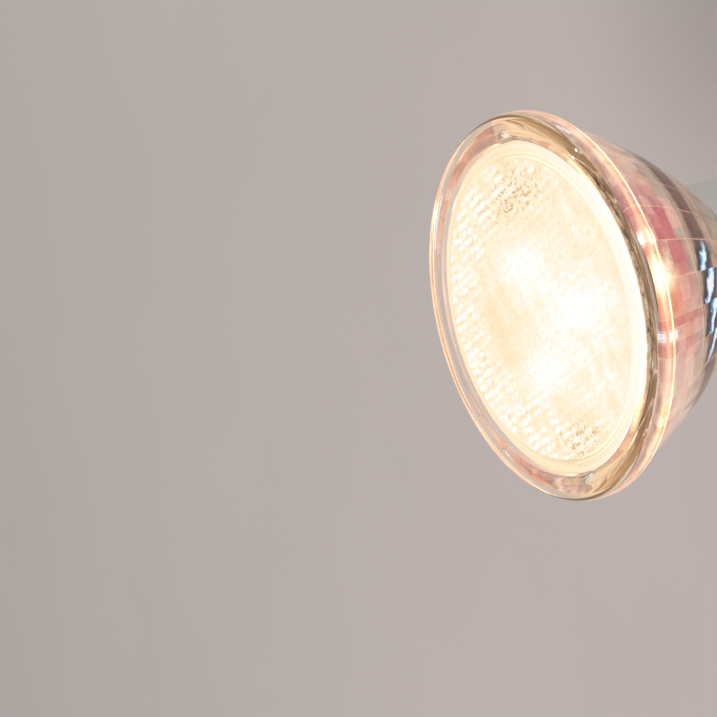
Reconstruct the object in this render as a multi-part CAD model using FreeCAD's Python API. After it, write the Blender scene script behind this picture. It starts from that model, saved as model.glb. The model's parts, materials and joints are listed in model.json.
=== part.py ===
"""Twin-pin spotlight bulb with a pressed-glass reflector, a moulded triple lens and a driver in its base.

The bulb stands on its two contact pins. Z runs up along its axis, through the middle of the front
lens. The origin is midway between the pins, on the plane of their ends. Lengths are millimetres.
Every piece is stacked from the pin ends upwards or hung from the rim downwards, so the pieces
follow each other when one size is changed.
"""
import FreeCAD, Part
import math
import os

# Contact pins
PIN_SPACING = 10.0
PIN_LENGTH = 7.0
PIN_SHANK_R = 1.5
PIN_HEAD_R = 2.5
PIN_HEAD_H = 2.4
PIN_EDGE = 0.3
PIN_FLANGE_R = 2.2
PIN_FLANGE_H = 0.6
PIN_BORE_R = 0.55
PIN_BORE_DEPTH = 2.4
PIN_FIT = 0.02
PIN_SIDE_GAP = 1.0

# Base housing
BASE_H = 23.4
BASE_COLLAR_H = 9.0
BASE_COLLAR_WALL = 1.3
BASE_WALL = 1.4
BASE_FLOOR = 2.0
BASE_END_CHAMFER = 1.8
BASE_LIP_ROUND = 0.4
FLAT_DEPTH = 2.0
FLAT_H = 8.0

# Glass reflector
NECK_R = 9.6
NECK_WALL = 1.6
NECK_DEPTH = 6.0
NECK_LEDGE = 1.2
SHOULDER_H = 1.8
CUP_H = 21.3
CUP_FOOT_OVERHANG = 0.15
CUP_BULGE = 1.15
RIM_R = 25.0
RIM_H = 2.3
RIM_OVERHANG = 0.85
RIM_FACE_W = 3.5
RIM_BEVEL_W = 0.6
RIM_BEVEL_H = 1.2
RIM_BACK_ROUND = 0.2
LENS_LEDGE = 1.2
FACET_FOOT_LEDGE = 2.2
FACET_COLUMNS = 28
FACET_ROWS = 3
FACET_ROW_RATIO = 0.8

# Cement between the neck and the base
CEMENT_GAP = 0.5
CEMENT_SHORT = 0.3
NECK_SEAT_GAP = 0.1

# Front lens
LENS_FIT = 0.15
LENS_EDGE_T = 1.8
LENS_RECESS = 0.6
LENS_SEAL_T = 0.3
LENS_EDGE_CHAMFER = 0.2
BORDER_W = 1.05
GROOVE_W = 0.9
STEP_W = 0.7
FIELD_SINK = 0.15

# Light sources and the collimators over them
LED_COUNT = 3
LED_FIRST_AZIMUTH = 30.0
LED_SIDE = 3.0
LED_BODY_H = 0.6
LED_DOME_R = 1.3
LED_DOME_H = 1.0
COLLIMATOR_H = 8.8
COLLIMATOR_EDGE_GAP = 3.3
COLLIMATOR_MIDDLE_GAP = 0.9
COLLIMATOR_FOOT_WALL = 0.9
COLLIMATOR_BULGE = 0.55
POCKET_SIDE_GAP = 0.28
POCKET_ROOM = 1.3
POCKET_DRAFT = 0.2
POCKET_DOME_H = 0.7
FOOT_GAP = 0.1

# Light-source board and heat spreader
BOARD_T = 1.2
BOARD_INSET = 0.4
PAD_T = 0.3
PAD_INSET = 0.5
SPREADER_PLATE_T = 1.5
SPREADER_WALL = 1.2
SPREADER_GAP = 0.5
SCREW_EDGE_GAP = 1.1
SCREW_HEAD_R = 1.9
SCREW_HEAD_H = 1.3
SCREW_RIM_H = 0.35
SCREW_CROWN_R = 0.9
SCREW_SHANK_R = 0.95
SCREW_SHORT = 0.2
SCREW_FIT = 0.05
SCREW_SLOT_W = 0.5
SCREW_SLOT_L = 1.9
SCREW_SLOT_DEPTH = 0.6

# Driver board, held by its edges in two rails of the base housing
DRIVER_T = 1.0
DRIVER_Y = -1.9
DRIVER_HEADROOM = 5.0
DRIVER_SIDE_GAP = 0.4
RAIL_TOP_GAP = 4.3
RAIL_RIB = 0.8
RAIL_GRIP = 1.2
RAIL_STOP = 0.6
RAIL_FLOOR_GAP = 0.4
RAIL_FIT = 0.1

# Parts on the driver board; a spot is a share of its half width and of its height
CHOKE_SPOT = (0.5, 0.7)
RESISTOR_SPOT = (-0.4, 0.25)
RECTIFIER_SPOT = (0.0, 0.16)
CHIP_SPOT = (-0.1, 0.72)
DIODE_SPOT = (0.3, 0.43)
FILM_HEIGHT_SHARE = 0.25
SMALL_RESISTOR_SHARES = (0.6, 0.7, 0.8, 0.9)
SMALL_CAPACITOR_SHARES = (0.3, 0.42, 0.54)
CAN_SIDE_GAP = 0.5
CAN_TOP_GAP = 0.8
CAN_SHARE = 0.38
CAN_LIFT = 0.1
CAN_EDGE = 0.2
CAN_CRIMP_UP = 1.5
FILM_BOX = (4.8, 3.4, 6.2)
FILM_ROUND = 0.4
FILM_RAIL_GAP = 0.4
CHOKE_SIDE_GAP = 0.7
CHOKE_FLANGE_T = 0.9
CHOKE_WAIST = 1.5
CHOKE_H = 5.0
WINDING_SINK = 0.4
WINDING_CROWN = 0.2
WINDING_FIT = 0.05
RESISTOR_R = 1.15
RESISTOR_L = 5.6
RESISTOR_CAP_L = 1.1
RESISTOR_CAP_RISE = 0.12
RESISTOR_EDGE = 0.25
RESISTOR_LIFT = 0.5
RECTIFIER_BOX = (4.6, 1.5, 3.8)
CHIP_BOX = (3.9, 1.4, 4.9)
DIODE_BOX = (2.6, 1.9, 4.2)
LEG_T = 0.2
RECTIFIER_LEGS = 2
RECTIFIER_LEG_W = 0.6
CHIP_LEGS = 4
CHIP_LEG_W = 0.4
DIODE_LEGS = 1
DIODE_LEG_W = 1.4
SMALL_RESISTOR_BOX = (0.8, 0.45, 1.6)
SMALL_CAPACITOR_BOX = (1.25, 0.8, 2.0)
SMALL_RAIL_GAP = 0.2
PART_LEAD_R = 0.25
PART_LEAD_BEND = 0.6
PART_LEAD_RUN = 1.3

# Insulated leads
LEAD_R = 0.45
LEAD_X_SHARE = 0.42
LEAD_END_SHARE = 0.81
LEAD_STAND_OFF = 1.5
LEAD_FROM_TOP = 1.4
LEAD_BEND = 0.9
LEAD_HOLE_GAP = 0.35
INPUT_LEAD_R = 0.4
INPUT_LEAD_BEND = 0.8
INPUT_LEAD_RISE = 1.5
INPUT_LEAD_STRAIGHT = 0.8
INPUT_LEAD_RAIL_GAP = 0.9

# Levels and radii that follow from the sizes above
base_z = PIN_LENGTH
floor_z = base_z + BASE_FLOOR
collar_z = base_z + BASE_H
neck_z = collar_z - NECK_DEPTH
neck_ledge_z = neck_z - NECK_SEAT_GAP
shoulder_z = collar_z + SHOULDER_H
rim_back_z = collar_z + CUP_H
rim_z = rim_back_z + RIM_H
lens_front_z = rim_z - LENS_RECESS
lens_back_z = lens_front_z - LENS_EDGE_T
field_z = lens_front_z - FIELD_SINK
seat_z = lens_back_z - LENS_SEAL_T
collimator_z = lens_back_z - COLLIMATOR_H
board_top_z = collimator_z - FOOT_GAP
board_z = board_top_z - BOARD_T
plate_top_z = board_z - PAD_T
plate_z = plate_top_z - SPREADER_PLATE_T

neck_bore_r = NECK_R - NECK_WALL
cement_bore_r = NECK_R + CEMENT_GAP
collar_r = cement_bore_r + BASE_COLLAR_WALL
cup_foot_r = collar_r + CUP_FOOT_OVERHANG
cup_top_r = RIM_R - RIM_OVERHANG
lens_pocket_r = RIM_R - RIM_FACE_W
lens_r = lens_pocket_r - LENS_FIT
facet_top_r = lens_r - LENS_LEDGE
facet_foot_r = neck_bore_r + FACET_FOOT_LEDGE
border_r = lens_r - BORDER_W
step_r = border_r - GROOVE_W
field_r = step_r - STEP_W
led_spread = math.sin(math.pi / LED_COUNT)
led_room_r = field_r - COLLIMATOR_EDGE_GAP
collimator_top_r = (led_room_r * led_spread - COLLIMATOR_MIDDLE_GAP / 2) / (1 + led_spread)
led_circle_r = led_room_r - collimator_top_r
pocket_r = LED_SIDE / math.sqrt(2) + POCKET_SIDE_GAP
collimator_foot_r = pocket_r + COLLIMATOR_FOOT_WALL
lead_room = led_circle_r - collimator_foot_r
lead_x = LEAD_X_SHARE * lead_room
lead_end_x = LEAD_END_SHARE * lead_room

pin_x = PIN_SPACING / 2
end_bore_r = pin_x + PIN_FLANGE_R + PIN_SIDE_GAP
base_end_r = end_bore_r + BASE_WALL
flat_half = base_end_r - FLAT_DEPTH
lower_bore_r = neck_bore_r + NECK_LEDGE
rail_z = floor_z + PIN_FLANGE_H + RAIL_FLOOR_GAP
rail_h = neck_ledge_z - RAIL_TOP_GAP - rail_z
driver_z = rail_z + RAIL_STOP
driver_top_z = plate_z - DRIVER_HEADROOM
driver_h = driver_top_z - driver_z
driver_front_y = DRIVER_Y + DRIVER_T / 2
driver_back_y = DRIVER_Y - DRIVER_T / 2
driver_room_r = min(neck_bore_r, end_bore_r)
driver_half_w = math.sqrt(driver_room_r ** 2 - driver_back_y ** 2) - DRIVER_SIDE_GAP
rail_inner_x = driver_half_w - RAIL_GRIP
can_r = driver_half_w / 2 - CAN_SIDE_GAP
can_h = CAN_SHARE * driver_h
choke_r = driver_half_w / 2 - CHOKE_SIDE_GAP
choke_hub_r = choke_r - CHOKE_WAIST
lead_start_z = driver_top_z - LEAD_FROM_TOP
led_azimuths = [LED_FIRST_AZIMUTH + 360.0 * i / LED_COUNT for i in range(LED_COUNT)]
screw_azimuths = [azimuth + 180.0 / LED_COUNT for azimuth in led_azimuths]
lead_y = driver_front_y + LEAD_STAND_OFF
UP = FreeCAD.Vector(0, 0, 1)


def vec(x, y, z):
    """A point or direction."""
    return FreeCAD.Vector(x, y, z)


def on_circle(radius, azimuth, z=0.0):
    """The point at an azimuth in degrees on a level circle about the axis."""
    angle = math.radians(azimuth)
    return vec(radius * math.cos(angle), radius * math.sin(angle), z)


def turned(points, at=vec(0, 0, 0)):
    """A solid of revolution about a vertical axis.

    Each point is (radius, z) for a straight edge, or (mid_radius, mid_z, radius, z) for an arc.
    """
    edges = []
    here = vec(points[0][0], 0, points[0][1])
    for point in list(points[1:]) + [points[0]]:
        there = vec(point[-2], 0, point[-1])
        if len(point) == 4:
            middle = vec(point[0], 0, point[1])
            edges.append(Part.Arc(here, middle, there).toShape())
        elif (there - here).Length > 1e-6:
            edges.append(Part.LineSegment(here, there).toShape())
        here = there
    face = Part.Face(Part.Wire(edges))
    solid = face.revolve(vec(0, 0, 0), UP, 360)
    solid.translate(at)
    return solid


def disc(radius, z_low, z_high, x=0.0, y=0.0):
    """An upright cylinder between two levels."""
    return Part.makeCylinder(radius, z_high - z_low, vec(x, y, z_low))


def block(size, centre):
    """A box of a given size about its centre."""
    corner = vec(*centre) - vec(*size) * 0.5
    return Part.makeBox(size[0], size[1], size[2], corner)


def bulged_middle(r0, z0, r1, z1, bulge):
    """The middle point of an arc that stands out from its chord by the bulge."""
    length = math.hypot(r1 - r0, z1 - z0)
    out_r = (z1 - z0) / length
    out_z = (r0 - r1) / length
    return (r0 + r1) / 2 + out_r * bulge, (z0 + z1) / 2 + out_z * bulge


def cap_to_axis(radius, edge_z, apex_z):
    """The arc of a ball's cap from its edge circle to its apex on the axis, as a turned() point."""
    height = apex_z - edge_z
    ball_r = (radius ** 2 + height ** 2) / (2 * height)
    half_angle = math.atan2(abs(height), radius)
    mid_r = abs(ball_r) * math.sin(half_angle)
    mid_z = apex_z - ball_r * (1 - math.cos(half_angle))
    return mid_r, mid_z, 0, apex_z


def arc_radius_at(z, r0, z0, r1, z1, bulge):
    """The radius that the arc from (r0, z0) to (r1, z1) has at one level."""
    half_chord = math.hypot(r1 - r0, z1 - z0) / 2
    radius = (half_chord ** 2 + bulge ** 2) / (2 * bulge)
    mid_r, mid_z = bulged_middle(r0, z0, r1, z1, bulge - radius)
    return mid_r + math.sqrt(radius ** 2 - (z - mid_z) ** 2)


def facet_levels():
    """The level and radius of each ring of facet corners, from the lens seat down to the shoulder."""
    share = sum(FACET_ROW_RATIO ** i for i in range(FACET_ROWS))
    z = seat_z
    levels = [(z, facet_top_r)]
    for row in range(FACET_ROWS):
        z -= (seat_z - shoulder_z) * FACET_ROW_RATIO ** row / share
        radius = arc_radius_at(z, facet_foot_r, shoulder_z, facet_top_r, seat_z, CUP_BULGE)
        levels.append((z, radius))
    return levels


def flat_to_flat_radius(z):
    """The smallest inside radius of the faceted wall at one level."""
    levels = facet_levels()
    for (z_high, r_high), (z_low, r_low) in zip(levels, levels[1:]):
        if z >= z_low - 1e-9:
            radius = r_low + (r_high - r_low) * (z - z_low) / (z_high - z_low)
            return radius * math.cos(math.pi / FACET_COLUMNS)
    return facet_foot_r * math.cos(math.pi / FACET_COLUMNS)


def facet_cavity():
    """The many-sided inside of the reflector: rows of flat four-cornered facets.

    The corners of a row lie on two level rings with the same azimuths, so each facet is a flat
    trapezium. A short prism on top carries the cavity through the lens seat.
    """
    levels = [(seat_z + LENS_SEAL_T, facet_top_r)] + facet_levels()
    step = 360.0 / FACET_COLUMNS
    rings = [[on_circle(r, step * i, z) for i in range(FACET_COLUMNS)] for z, r in levels]
    faces = [Part.Face(Part.makePolygon(ring + ring[:1])) for ring in (rings[0], rings[-1])]
    for upper, lower in zip(rings, rings[1:]):
        for i in range(FACET_COLUMNS):
            j = (i + 1) % FACET_COLUMNS
            corners = [upper[i], upper[j], lower[j], lower[i], upper[i]]
            faces.append(Part.Face(Part.makePolygon(corners)))
    return Part.Solid(Part.Shell(faces))


def glass_reflector():
    """Pressed-glass cup: neck, flared smooth outside, faceted inside, rim with its lens seat."""
    cup_mid = bulged_middle(cup_foot_r, collar_z, cup_top_r, rim_back_z, CUP_BULGE)
    back_mid = RIM_BACK_ROUND * (1 - math.sqrt(0.5))
    bevel_r = (RIM_BEVEL_W ** 2 + RIM_BEVEL_H ** 2) / (2 * RIM_BEVEL_W)
    bevel_half = math.asin(min(1.0, RIM_BEVEL_H / bevel_r)) / 2
    bevel_mid_r = RIM_R - bevel_r * (1 - math.cos(bevel_half))
    bevel_mid_z = rim_z - RIM_BEVEL_H + bevel_r * math.sin(bevel_half)
    outside = turned([
        (0, neck_z),
        (NECK_R, neck_z),
        (NECK_R, collar_z),
        (cup_foot_r, collar_z),
        cup_mid + (cup_top_r, rim_back_z),
        (RIM_R - RIM_BACK_ROUND, rim_back_z),
        (RIM_R - back_mid, rim_back_z + back_mid, RIM_R, rim_back_z + RIM_BACK_ROUND),
        (RIM_R, rim_z - RIM_BEVEL_H),
        (bevel_mid_r, bevel_mid_z, RIM_R - RIM_BEVEL_W, rim_z),
        (0, rim_z),
    ])
    glass = outside.cut(disc(lens_pocket_r, seat_z, rim_z + 1))
    glass = glass.cut(facet_cavity())
    return glass.cut(disc(neck_bore_r, neck_z - 1, shoulder_z + LENS_SEAL_T))


def collimator(azimuth):
    """One moulded light guide: a flared bowl with a drafted, domed pocket over its light source."""
    side_mid = bulged_middle(collimator_foot_r, collimator_z, collimator_top_r, lens_back_z,
                             COLLIMATOR_BULGE)
    root_z = (lens_back_z + field_z) / 2
    bowl = turned([
        (0, collimator_z),
        (collimator_foot_r, collimator_z),
        side_mid + (collimator_top_r, lens_back_z),
        (collimator_top_r, root_z),
        (0, root_z),
    ])
    roof_z = board_top_z + LED_BODY_H + LED_DOME_H + POCKET_ROOM + POCKET_DOME_H
    roof_r = pocket_r - POCKET_DRAFT
    pocket = turned([
        (0, board_top_z),
        (pocket_r, board_top_z),
        (roof_r, roof_z),
        cap_to_axis(roof_r, roof_z, roof_z - POCKET_DOME_H),
    ])
    piece = bowl.cut(pocket)
    piece.translate(on_circle(led_circle_r, azimuth))
    return piece


def front_lens():
    """Front lens in one moulding: stepped border, sunk field and a collimator behind for each source."""
    lens = turned([
        (0, lens_back_z),
        (lens_r, lens_back_z),
        (lens_r, lens_front_z - LENS_EDGE_CHAMFER),
        (lens_r - LENS_EDGE_CHAMFER, lens_front_z),
        (border_r, lens_front_z),
        (border_r, field_z),
        (step_r, field_z),
        (step_r, lens_front_z),
        (field_r, lens_front_z),
        (field_r, field_z),
        (0, field_z),
    ])
    for azimuth in led_azimuths:
        lens = lens.fuse(collimator(azimuth))
    return lens.removeSplitter()


def ring(r_inner, r_outer, z_low, z_high):
    """A flat-ended ring about the axis."""
    return disc(r_outer, z_low, z_high).cut(disc(r_inner, z_low - 1, z_high + 1))


def lens_seal():
    """Silicone bead between the seat in the rim and the back of the lens."""
    return ring(facet_top_r + LENS_FIT, lens_r, seat_z, lens_back_z)


def led_package(azimuth):
    """One light source: square ceramic body with a moulded dome."""
    body_top = board_top_z + LED_BODY_H
    body = block((LED_SIDE, LED_SIDE, LED_BODY_H), (0, 0, board_top_z + LED_BODY_H / 2))
    dome = turned([
        (0, board_top_z + LED_BODY_H / 2),
        (LED_DOME_R, board_top_z + LED_BODY_H / 2),
        (LED_DOME_R, body_top),
        cap_to_axis(LED_DOME_R, body_top, body_top + LED_DOME_H),
    ])
    package = body.fuse(dome)
    package.rotate(vec(0, 0, 0), UP, azimuth)
    package.translate(on_circle(led_circle_r, azimuth))
    return package


def spreader_r():
    """Radius of the heat spreader's plate, clear of the facets at its lower edge."""
    return flat_to_flat_radius(plate_z) - SPREADER_GAP


def screw_circle_r():
    """Radius of the circle of screws, their heads inside the edge of the spreader."""
    return spreader_r() - SCREW_EDGE_GAP - SCREW_HEAD_R


def pierced(plate, z_low, z_high):
    """A plate with its holes for the screws and for the two leads."""
    for azimuth in screw_azimuths:
        centre = on_circle(screw_circle_r(), azimuth)
        hole_r = SCREW_SHANK_R + SCREW_FIT
        plate = plate.cut(disc(hole_r, z_low - 1, z_high + 1, centre.x, centre.y))
    for side in (-1, 1):
        hole_r = LEAD_R + LEAD_HOLE_GAP
        plate = plate.cut(disc(hole_r, z_low - 1, z_high + 1, side * lead_x, lead_y))
    return plate


def led_board():
    """Round aluminium-backed board that carries the light sources."""
    plate = disc(spreader_r() - BOARD_INSET, board_z, board_top_z)
    return pierced(plate, board_z, board_top_z)


def thermal_pad():
    """Soft pad that passes the heat of the board to the spreader."""
    plate = disc(spreader_r() - PAD_INSET, plate_top_z, board_z)
    return pierced(plate, plate_top_z, board_z)


def heat_spreader():
    """Spun aluminium cup: a plate under the board and a skirt that stands on the glass shoulder."""
    foot_r = flat_to_flat_radius(shoulder_z) - SPREADER_GAP
    top_r = spreader_r()
    cup = turned([
        (0, plate_z),
        (top_r - 2 * SPREADER_WALL, plate_z),
        (foot_r - SPREADER_WALL, shoulder_z + SPREADER_WALL),
        (foot_r - SPREADER_WALL, shoulder_z),
        (foot_r, shoulder_z),
        (foot_r, shoulder_z + SPREADER_WALL / 2),
        (top_r, plate_z),
        (top_r, plate_top_z),
        (0, plate_top_z),
    ])
    return pierced(cup, plate_z, plate_top_z)


def board_screws():
    """Pan-head screws that clamp the board and its pad to the spreader."""
    screws = []
    tip_z = plate_z + SCREW_SHORT
    head_top = board_top_z + SCREW_HEAD_H
    rim_top = board_top_z + SCREW_RIM_H
    crown_mid = bulged_middle(SCREW_CROWN_R, head_top, SCREW_HEAD_R, rim_top, -SCREW_RIM_H / 2)
    slot_z = head_top - SCREW_SLOT_DEPTH / 2
    for azimuth in screw_azimuths:
        screw = turned([
            (0, tip_z),
            (SCREW_SHANK_R, tip_z),
            (SCREW_SHANK_R, board_top_z),
            (SCREW_HEAD_R, board_top_z),
            (SCREW_HEAD_R, rim_top),
            crown_mid + (SCREW_CROWN_R, head_top),
            (0, head_top),
        ])
        for slot in ((SCREW_SLOT_L, SCREW_SLOT_W), (SCREW_SLOT_W, SCREW_SLOT_L)):
            screw = screw.cut(block(slot + (SCREW_SLOT_DEPTH,), (0, 0, slot_z)))
        screw.rotate(vec(0, 0, 0), UP, azimuth)
        screw.translate(on_circle(screw_circle_r(), azimuth))
        screws.append(screw)
    return Part.makeCompound(screws)


def flat_cutters(half_width, height_top):
    """Two wedges that cut the flats: upright faces that run out outwards at 45 degrees."""
    reach = 2 * collar_r
    out = reach - half_width
    cutters = []
    for side in (-1, 1):
        corners = [
            vec(-reach, side * half_width, 0),
            vec(-reach, side * half_width, height_top),
            vec(-reach, side * (half_width + out), height_top + out),
            vec(-reach, side * (half_width + out), 0),
        ]
        face = Part.Face(Part.makePolygon(corners + corners[:1]))
        cutters.append(face.extrude(vec(2 * reach, 0, 0)))
    return cutters


def driver_rails():
    """Two channels on the inner wall that take the long edges of the driver board."""
    rails = []
    across = DRIVER_T + 2 * RAIL_FIT
    for side in (-1, 1):
        length = max(collar_r, base_end_r) - rail_inner_x
        centre_x = side * (rail_inner_x + length / 2)
        size = (length, across + 2 * RAIL_RIB, rail_h)
        rail = block(size, (centre_x, DRIVER_Y, rail_z + rail_h / 2))
        slot_size = (2 * (RAIL_GRIP + RAIL_FIT), across, rail_h)
        rail = rail.cut(block(slot_size, (side * rail_inner_x, DRIVER_Y, driver_z + rail_h / 2)))
        rails.append(rail)
    return rails


def base_housing():
    """Moulded base: round collar, tapered body with two flats, chamfered end and board rails."""
    taper_z = collar_z - BASE_COLLAR_H
    lip_mid = BASE_LIP_ROUND * (1 - math.sqrt(0.5))
    outside = turned([
        (0, base_z),
        (base_end_r - BASE_END_CHAMFER, base_z),
        (base_end_r, base_z + BASE_END_CHAMFER),
        (collar_r, taper_z),
        (collar_r, collar_z - BASE_LIP_ROUND),
        (collar_r - lip_mid, collar_z - lip_mid, collar_r - BASE_LIP_ROUND, collar_z),
        (0, collar_z),
    ])
    inside = turned([
        (0, floor_z),
        (end_bore_r, floor_z),
        (lower_bore_r, min(taper_z, neck_ledge_z - BASE_WALL)),
        (lower_bore_r, neck_ledge_z),
        (cement_bore_r, neck_ledge_z),
        (cement_bore_r, collar_z + 1),
        (0, collar_z + 1),
    ])
    for cutter in flat_cutters(flat_half, base_z + FLAT_H):
        outside = outside.cut(cutter)
    for cutter in flat_cutters(flat_half - BASE_WALL, base_z + FLAT_H):
        inside = inside.cut(cutter)
    housing = outside.cut(inside)
    for rail in driver_rails():
        housing = housing.fuse(rail.common(outside))
    for side in (-1, 1):
        housing = housing.cut(disc(PIN_SHANK_R + PIN_FIT, base_z - 1, floor_z + 1, side * pin_x))
    return housing.removeSplitter()


def cement_ring():
    """Cement in the gap between the glass neck and the collar of the base."""
    return ring(NECK_R, cement_bore_r, neck_z, collar_z - CEMENT_SHORT)


def contact_pin(side):
    """Turned contact pin: headed end, shank through the base, riveted flange and a lead socket."""
    top_z = floor_z + PIN_FLANGE_H
    pin = turned([
        (0, 0),
        (PIN_HEAD_R - PIN_EDGE, 0),
        (PIN_HEAD_R, PIN_EDGE),
        (PIN_HEAD_R, PIN_HEAD_H - PIN_EDGE),
        (PIN_HEAD_R - PIN_EDGE, PIN_HEAD_H),
        (PIN_SHANK_R, PIN_HEAD_H),
        (PIN_SHANK_R, floor_z),
        (PIN_FLANGE_R, floor_z),
        (PIN_FLANGE_R, top_z),
        (PIN_BORE_R, top_z),
        (PIN_BORE_R, top_z - PIN_BORE_DEPTH),
        (0, top_z - PIN_BORE_DEPTH - PIN_BORE_R),
    ])
    pin.translate(vec(side * pin_x, 0, 0))
    return pin


def lead(points, radius, bend):
    """A round wire along straight runs joined by tangent arcs of one bend radius."""
    points = [vec(*point) for point in points]
    edges = []
    here = points[0]
    for before, corner, after in zip(points, points[1:], points[2:]):
        into = (corner - before).normalize()
        out = (after - corner).normalize()
        reach = bend * math.tan(into.getAngle(out) / 2)
        start = corner - into * reach
        end = corner + out * reach
        inward = (out - into).normalize()
        centre = corner + inward * math.hypot(bend, reach)
        middle = centre - inward * bend
        edges.append(Part.LineSegment(here, start).toShape())
        edges.append(Part.Arc(start, middle, end).toShape())
        here = end
    edges.append(Part.LineSegment(here, points[-1]).toShape())
    direction = points[1] - points[0]
    section = Part.Wire(Part.Circle(points[0], direction, radius).toShape())
    return Part.Wire(edges).makePipeShell([section], True, False)


def output_lead(side):
    """Lead from the front of the driver board, through the spreader, to the light-source board."""
    top_z = board_top_z + LEAD_R
    x = side * lead_x
    route = [
        (x, driver_front_y, lead_start_z),
        (x, lead_y, lead_start_z),
        (x, lead_y, top_z),
        (side * lead_end_x, lead_y, top_z),
    ]
    return lead(route, LEAD_R, LEAD_BEND)


def input_lead(side):
    """Lead from the socket of a contact pin, leaning clear of the rail, to the driver board."""
    flange_z = floor_z + PIN_FLANGE_H
    turn_z = driver_z + INPUT_LEAD_RISE
    board_x = rail_inner_x - INPUT_LEAD_RAIL_GAP - INPUT_LEAD_R
    route = [
        (side * pin_x, 0, flange_z - PIN_BORE_DEPTH),
        (side * pin_x, 0, flange_z + INPUT_LEAD_STRAIGHT),
        (side * board_x, 0, turn_z),
        (side * board_x, driver_front_y, turn_z),
    ]
    return lead(route, INPUT_LEAD_R, INPUT_LEAD_BEND)


def driver_spot(shares):
    """Where a part sits on the driver board, from shares of its half width and its height."""
    return shares[0] * driver_half_w, driver_z + shares[1] * driver_h


def driver_board():
    """Upright board of the driver."""
    size = (2 * driver_half_w, DRIVER_T, driver_h)
    return block(size, (0, DRIVER_Y, driver_z + driver_h / 2))


def smoothing_capacitor():
    """Aluminium can with a rolled crimp and two leads bent to the board."""
    x = -driver_half_w / 2
    y = driver_front_y + CAN_LIFT + can_r
    top = lead_start_z - LEAD_R - CAN_TOP_GAP
    low = top - can_h
    crimp_z = low + CAN_CRIMP_UP
    can = turned([
        (0, low),
        (can_r - CAN_EDGE, low),
        (can_r, low + CAN_EDGE),
        (can_r, crimp_z - 2 * CAN_EDGE),
        (can_r - CAN_EDGE, crimp_z, can_r, crimp_z + 2 * CAN_EDGE),
        (can_r, top - CAN_EDGE),
        (can_r - CAN_EDGE, top),
        (0, top),
    ], vec(x, y, 0))
    for side in (-1, 1):
        foot_x = x + side * can_r / 2
        foot = lead([
            (foot_x, y, low + CAN_CRIMP_UP / 2),
            (foot_x, y, low - PART_LEAD_RUN / 2),
            (foot_x, driver_front_y, low - PART_LEAD_RUN / 2),
        ], PART_LEAD_R, PART_LEAD_BEND)
        can = can.fuse(foot)
    return can


def film_capacitor():
    """Boxed film capacitor that stands on the front of the driver board."""
    width, height, _ = FILM_BOX
    x = rail_inner_x - FILM_RAIL_GAP - width / 2
    z = driver_z + FILM_HEIGHT_SHARE * driver_h
    body = block(FILM_BOX, (x, driver_front_y + height / 2, z))
    round_edges = [edge for edge in body.Edges if edge.BoundBox.YMax > driver_front_y + FILM_ROUND]
    return body.makeFillet(FILM_ROUND, round_edges)


def lying(points, x, z):
    """A turned piece whose axis stands square on the front of the driver board."""
    piece = turned(points)
    piece.rotate(vec(0, 0, 0), vec(1, 0, 0), -90)
    piece.translate(vec(x, driver_front_y, z))
    return piece


def choke_core():
    """Ferrite drum core standing on the driver board."""
    x, z = driver_spot(CHOKE_SPOT)
    return lying([
        (0, 0),
        (choke_r, 0),
        (choke_r, CHOKE_FLANGE_T),
        (choke_hub_r, CHOKE_FLANGE_T),
        (choke_hub_r, CHOKE_H - CHOKE_FLANGE_T),
        (choke_r, CHOKE_H - CHOKE_FLANGE_T),
        (choke_r, CHOKE_H),
        (0, CHOKE_H),
    ], x, z)


def choke_winding():
    """Copper winding in the waist of the drum core, one closed bundle with a crowned outside."""
    x, z = driver_spot(CHOKE_SPOT)
    low = CHOKE_FLANGE_T + WINDING_FIT
    high = CHOKE_H - CHOKE_FLANGE_T - WINDING_FIT
    inner_r = choke_hub_r + WINDING_FIT
    outer_r = choke_r - WINDING_SINK
    return lying([
        (inner_r, low),
        (outer_r - WINDING_CROWN, low),
        (outer_r, (low + high) / 2, outer_r - WINDING_CROWN, high),
        (inner_r, high),
    ], x, z)


def fusible_resistor():
    """Axial resistor with waisted body, its leads bent down to the driver board."""
    x, z = driver_spot(RESISTOR_SPOT)
    y = driver_front_y + RESISTOR_LIFT + RESISTOR_R
    half = RESISTOR_L / 2
    waist_r = RESISTOR_R - RESISTOR_CAP_RISE
    body = turned([
        (0, -half),
        (RESISTOR_R - RESISTOR_EDGE, -half),
        (RESISTOR_R, -half + RESISTOR_EDGE),
        (RESISTOR_R, -half + RESISTOR_CAP_L),
        (waist_r, -half + RESISTOR_CAP_L + RESISTOR_EDGE),
        (waist_r, half - RESISTOR_CAP_L - RESISTOR_EDGE),
        (RESISTOR_R, half - RESISTOR_CAP_L),
        (RESISTOR_R, half - RESISTOR_EDGE),
        (RESISTOR_R - RESISTOR_EDGE, half),
        (0, half),
    ], vec(x, y, z))
    for side in (-1, 1):
        foot = lead([
            (x, y, z + side * (half - RESISTOR_CAP_L / 2)),
            (x, y, z + side * (half + PART_LEAD_RUN)),
            (x, driver_front_y, z + side * (half + PART_LEAD_RUN)),
        ], PART_LEAD_R, PART_LEAD_BEND)
        body = body.fuse(foot)
    return body


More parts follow.
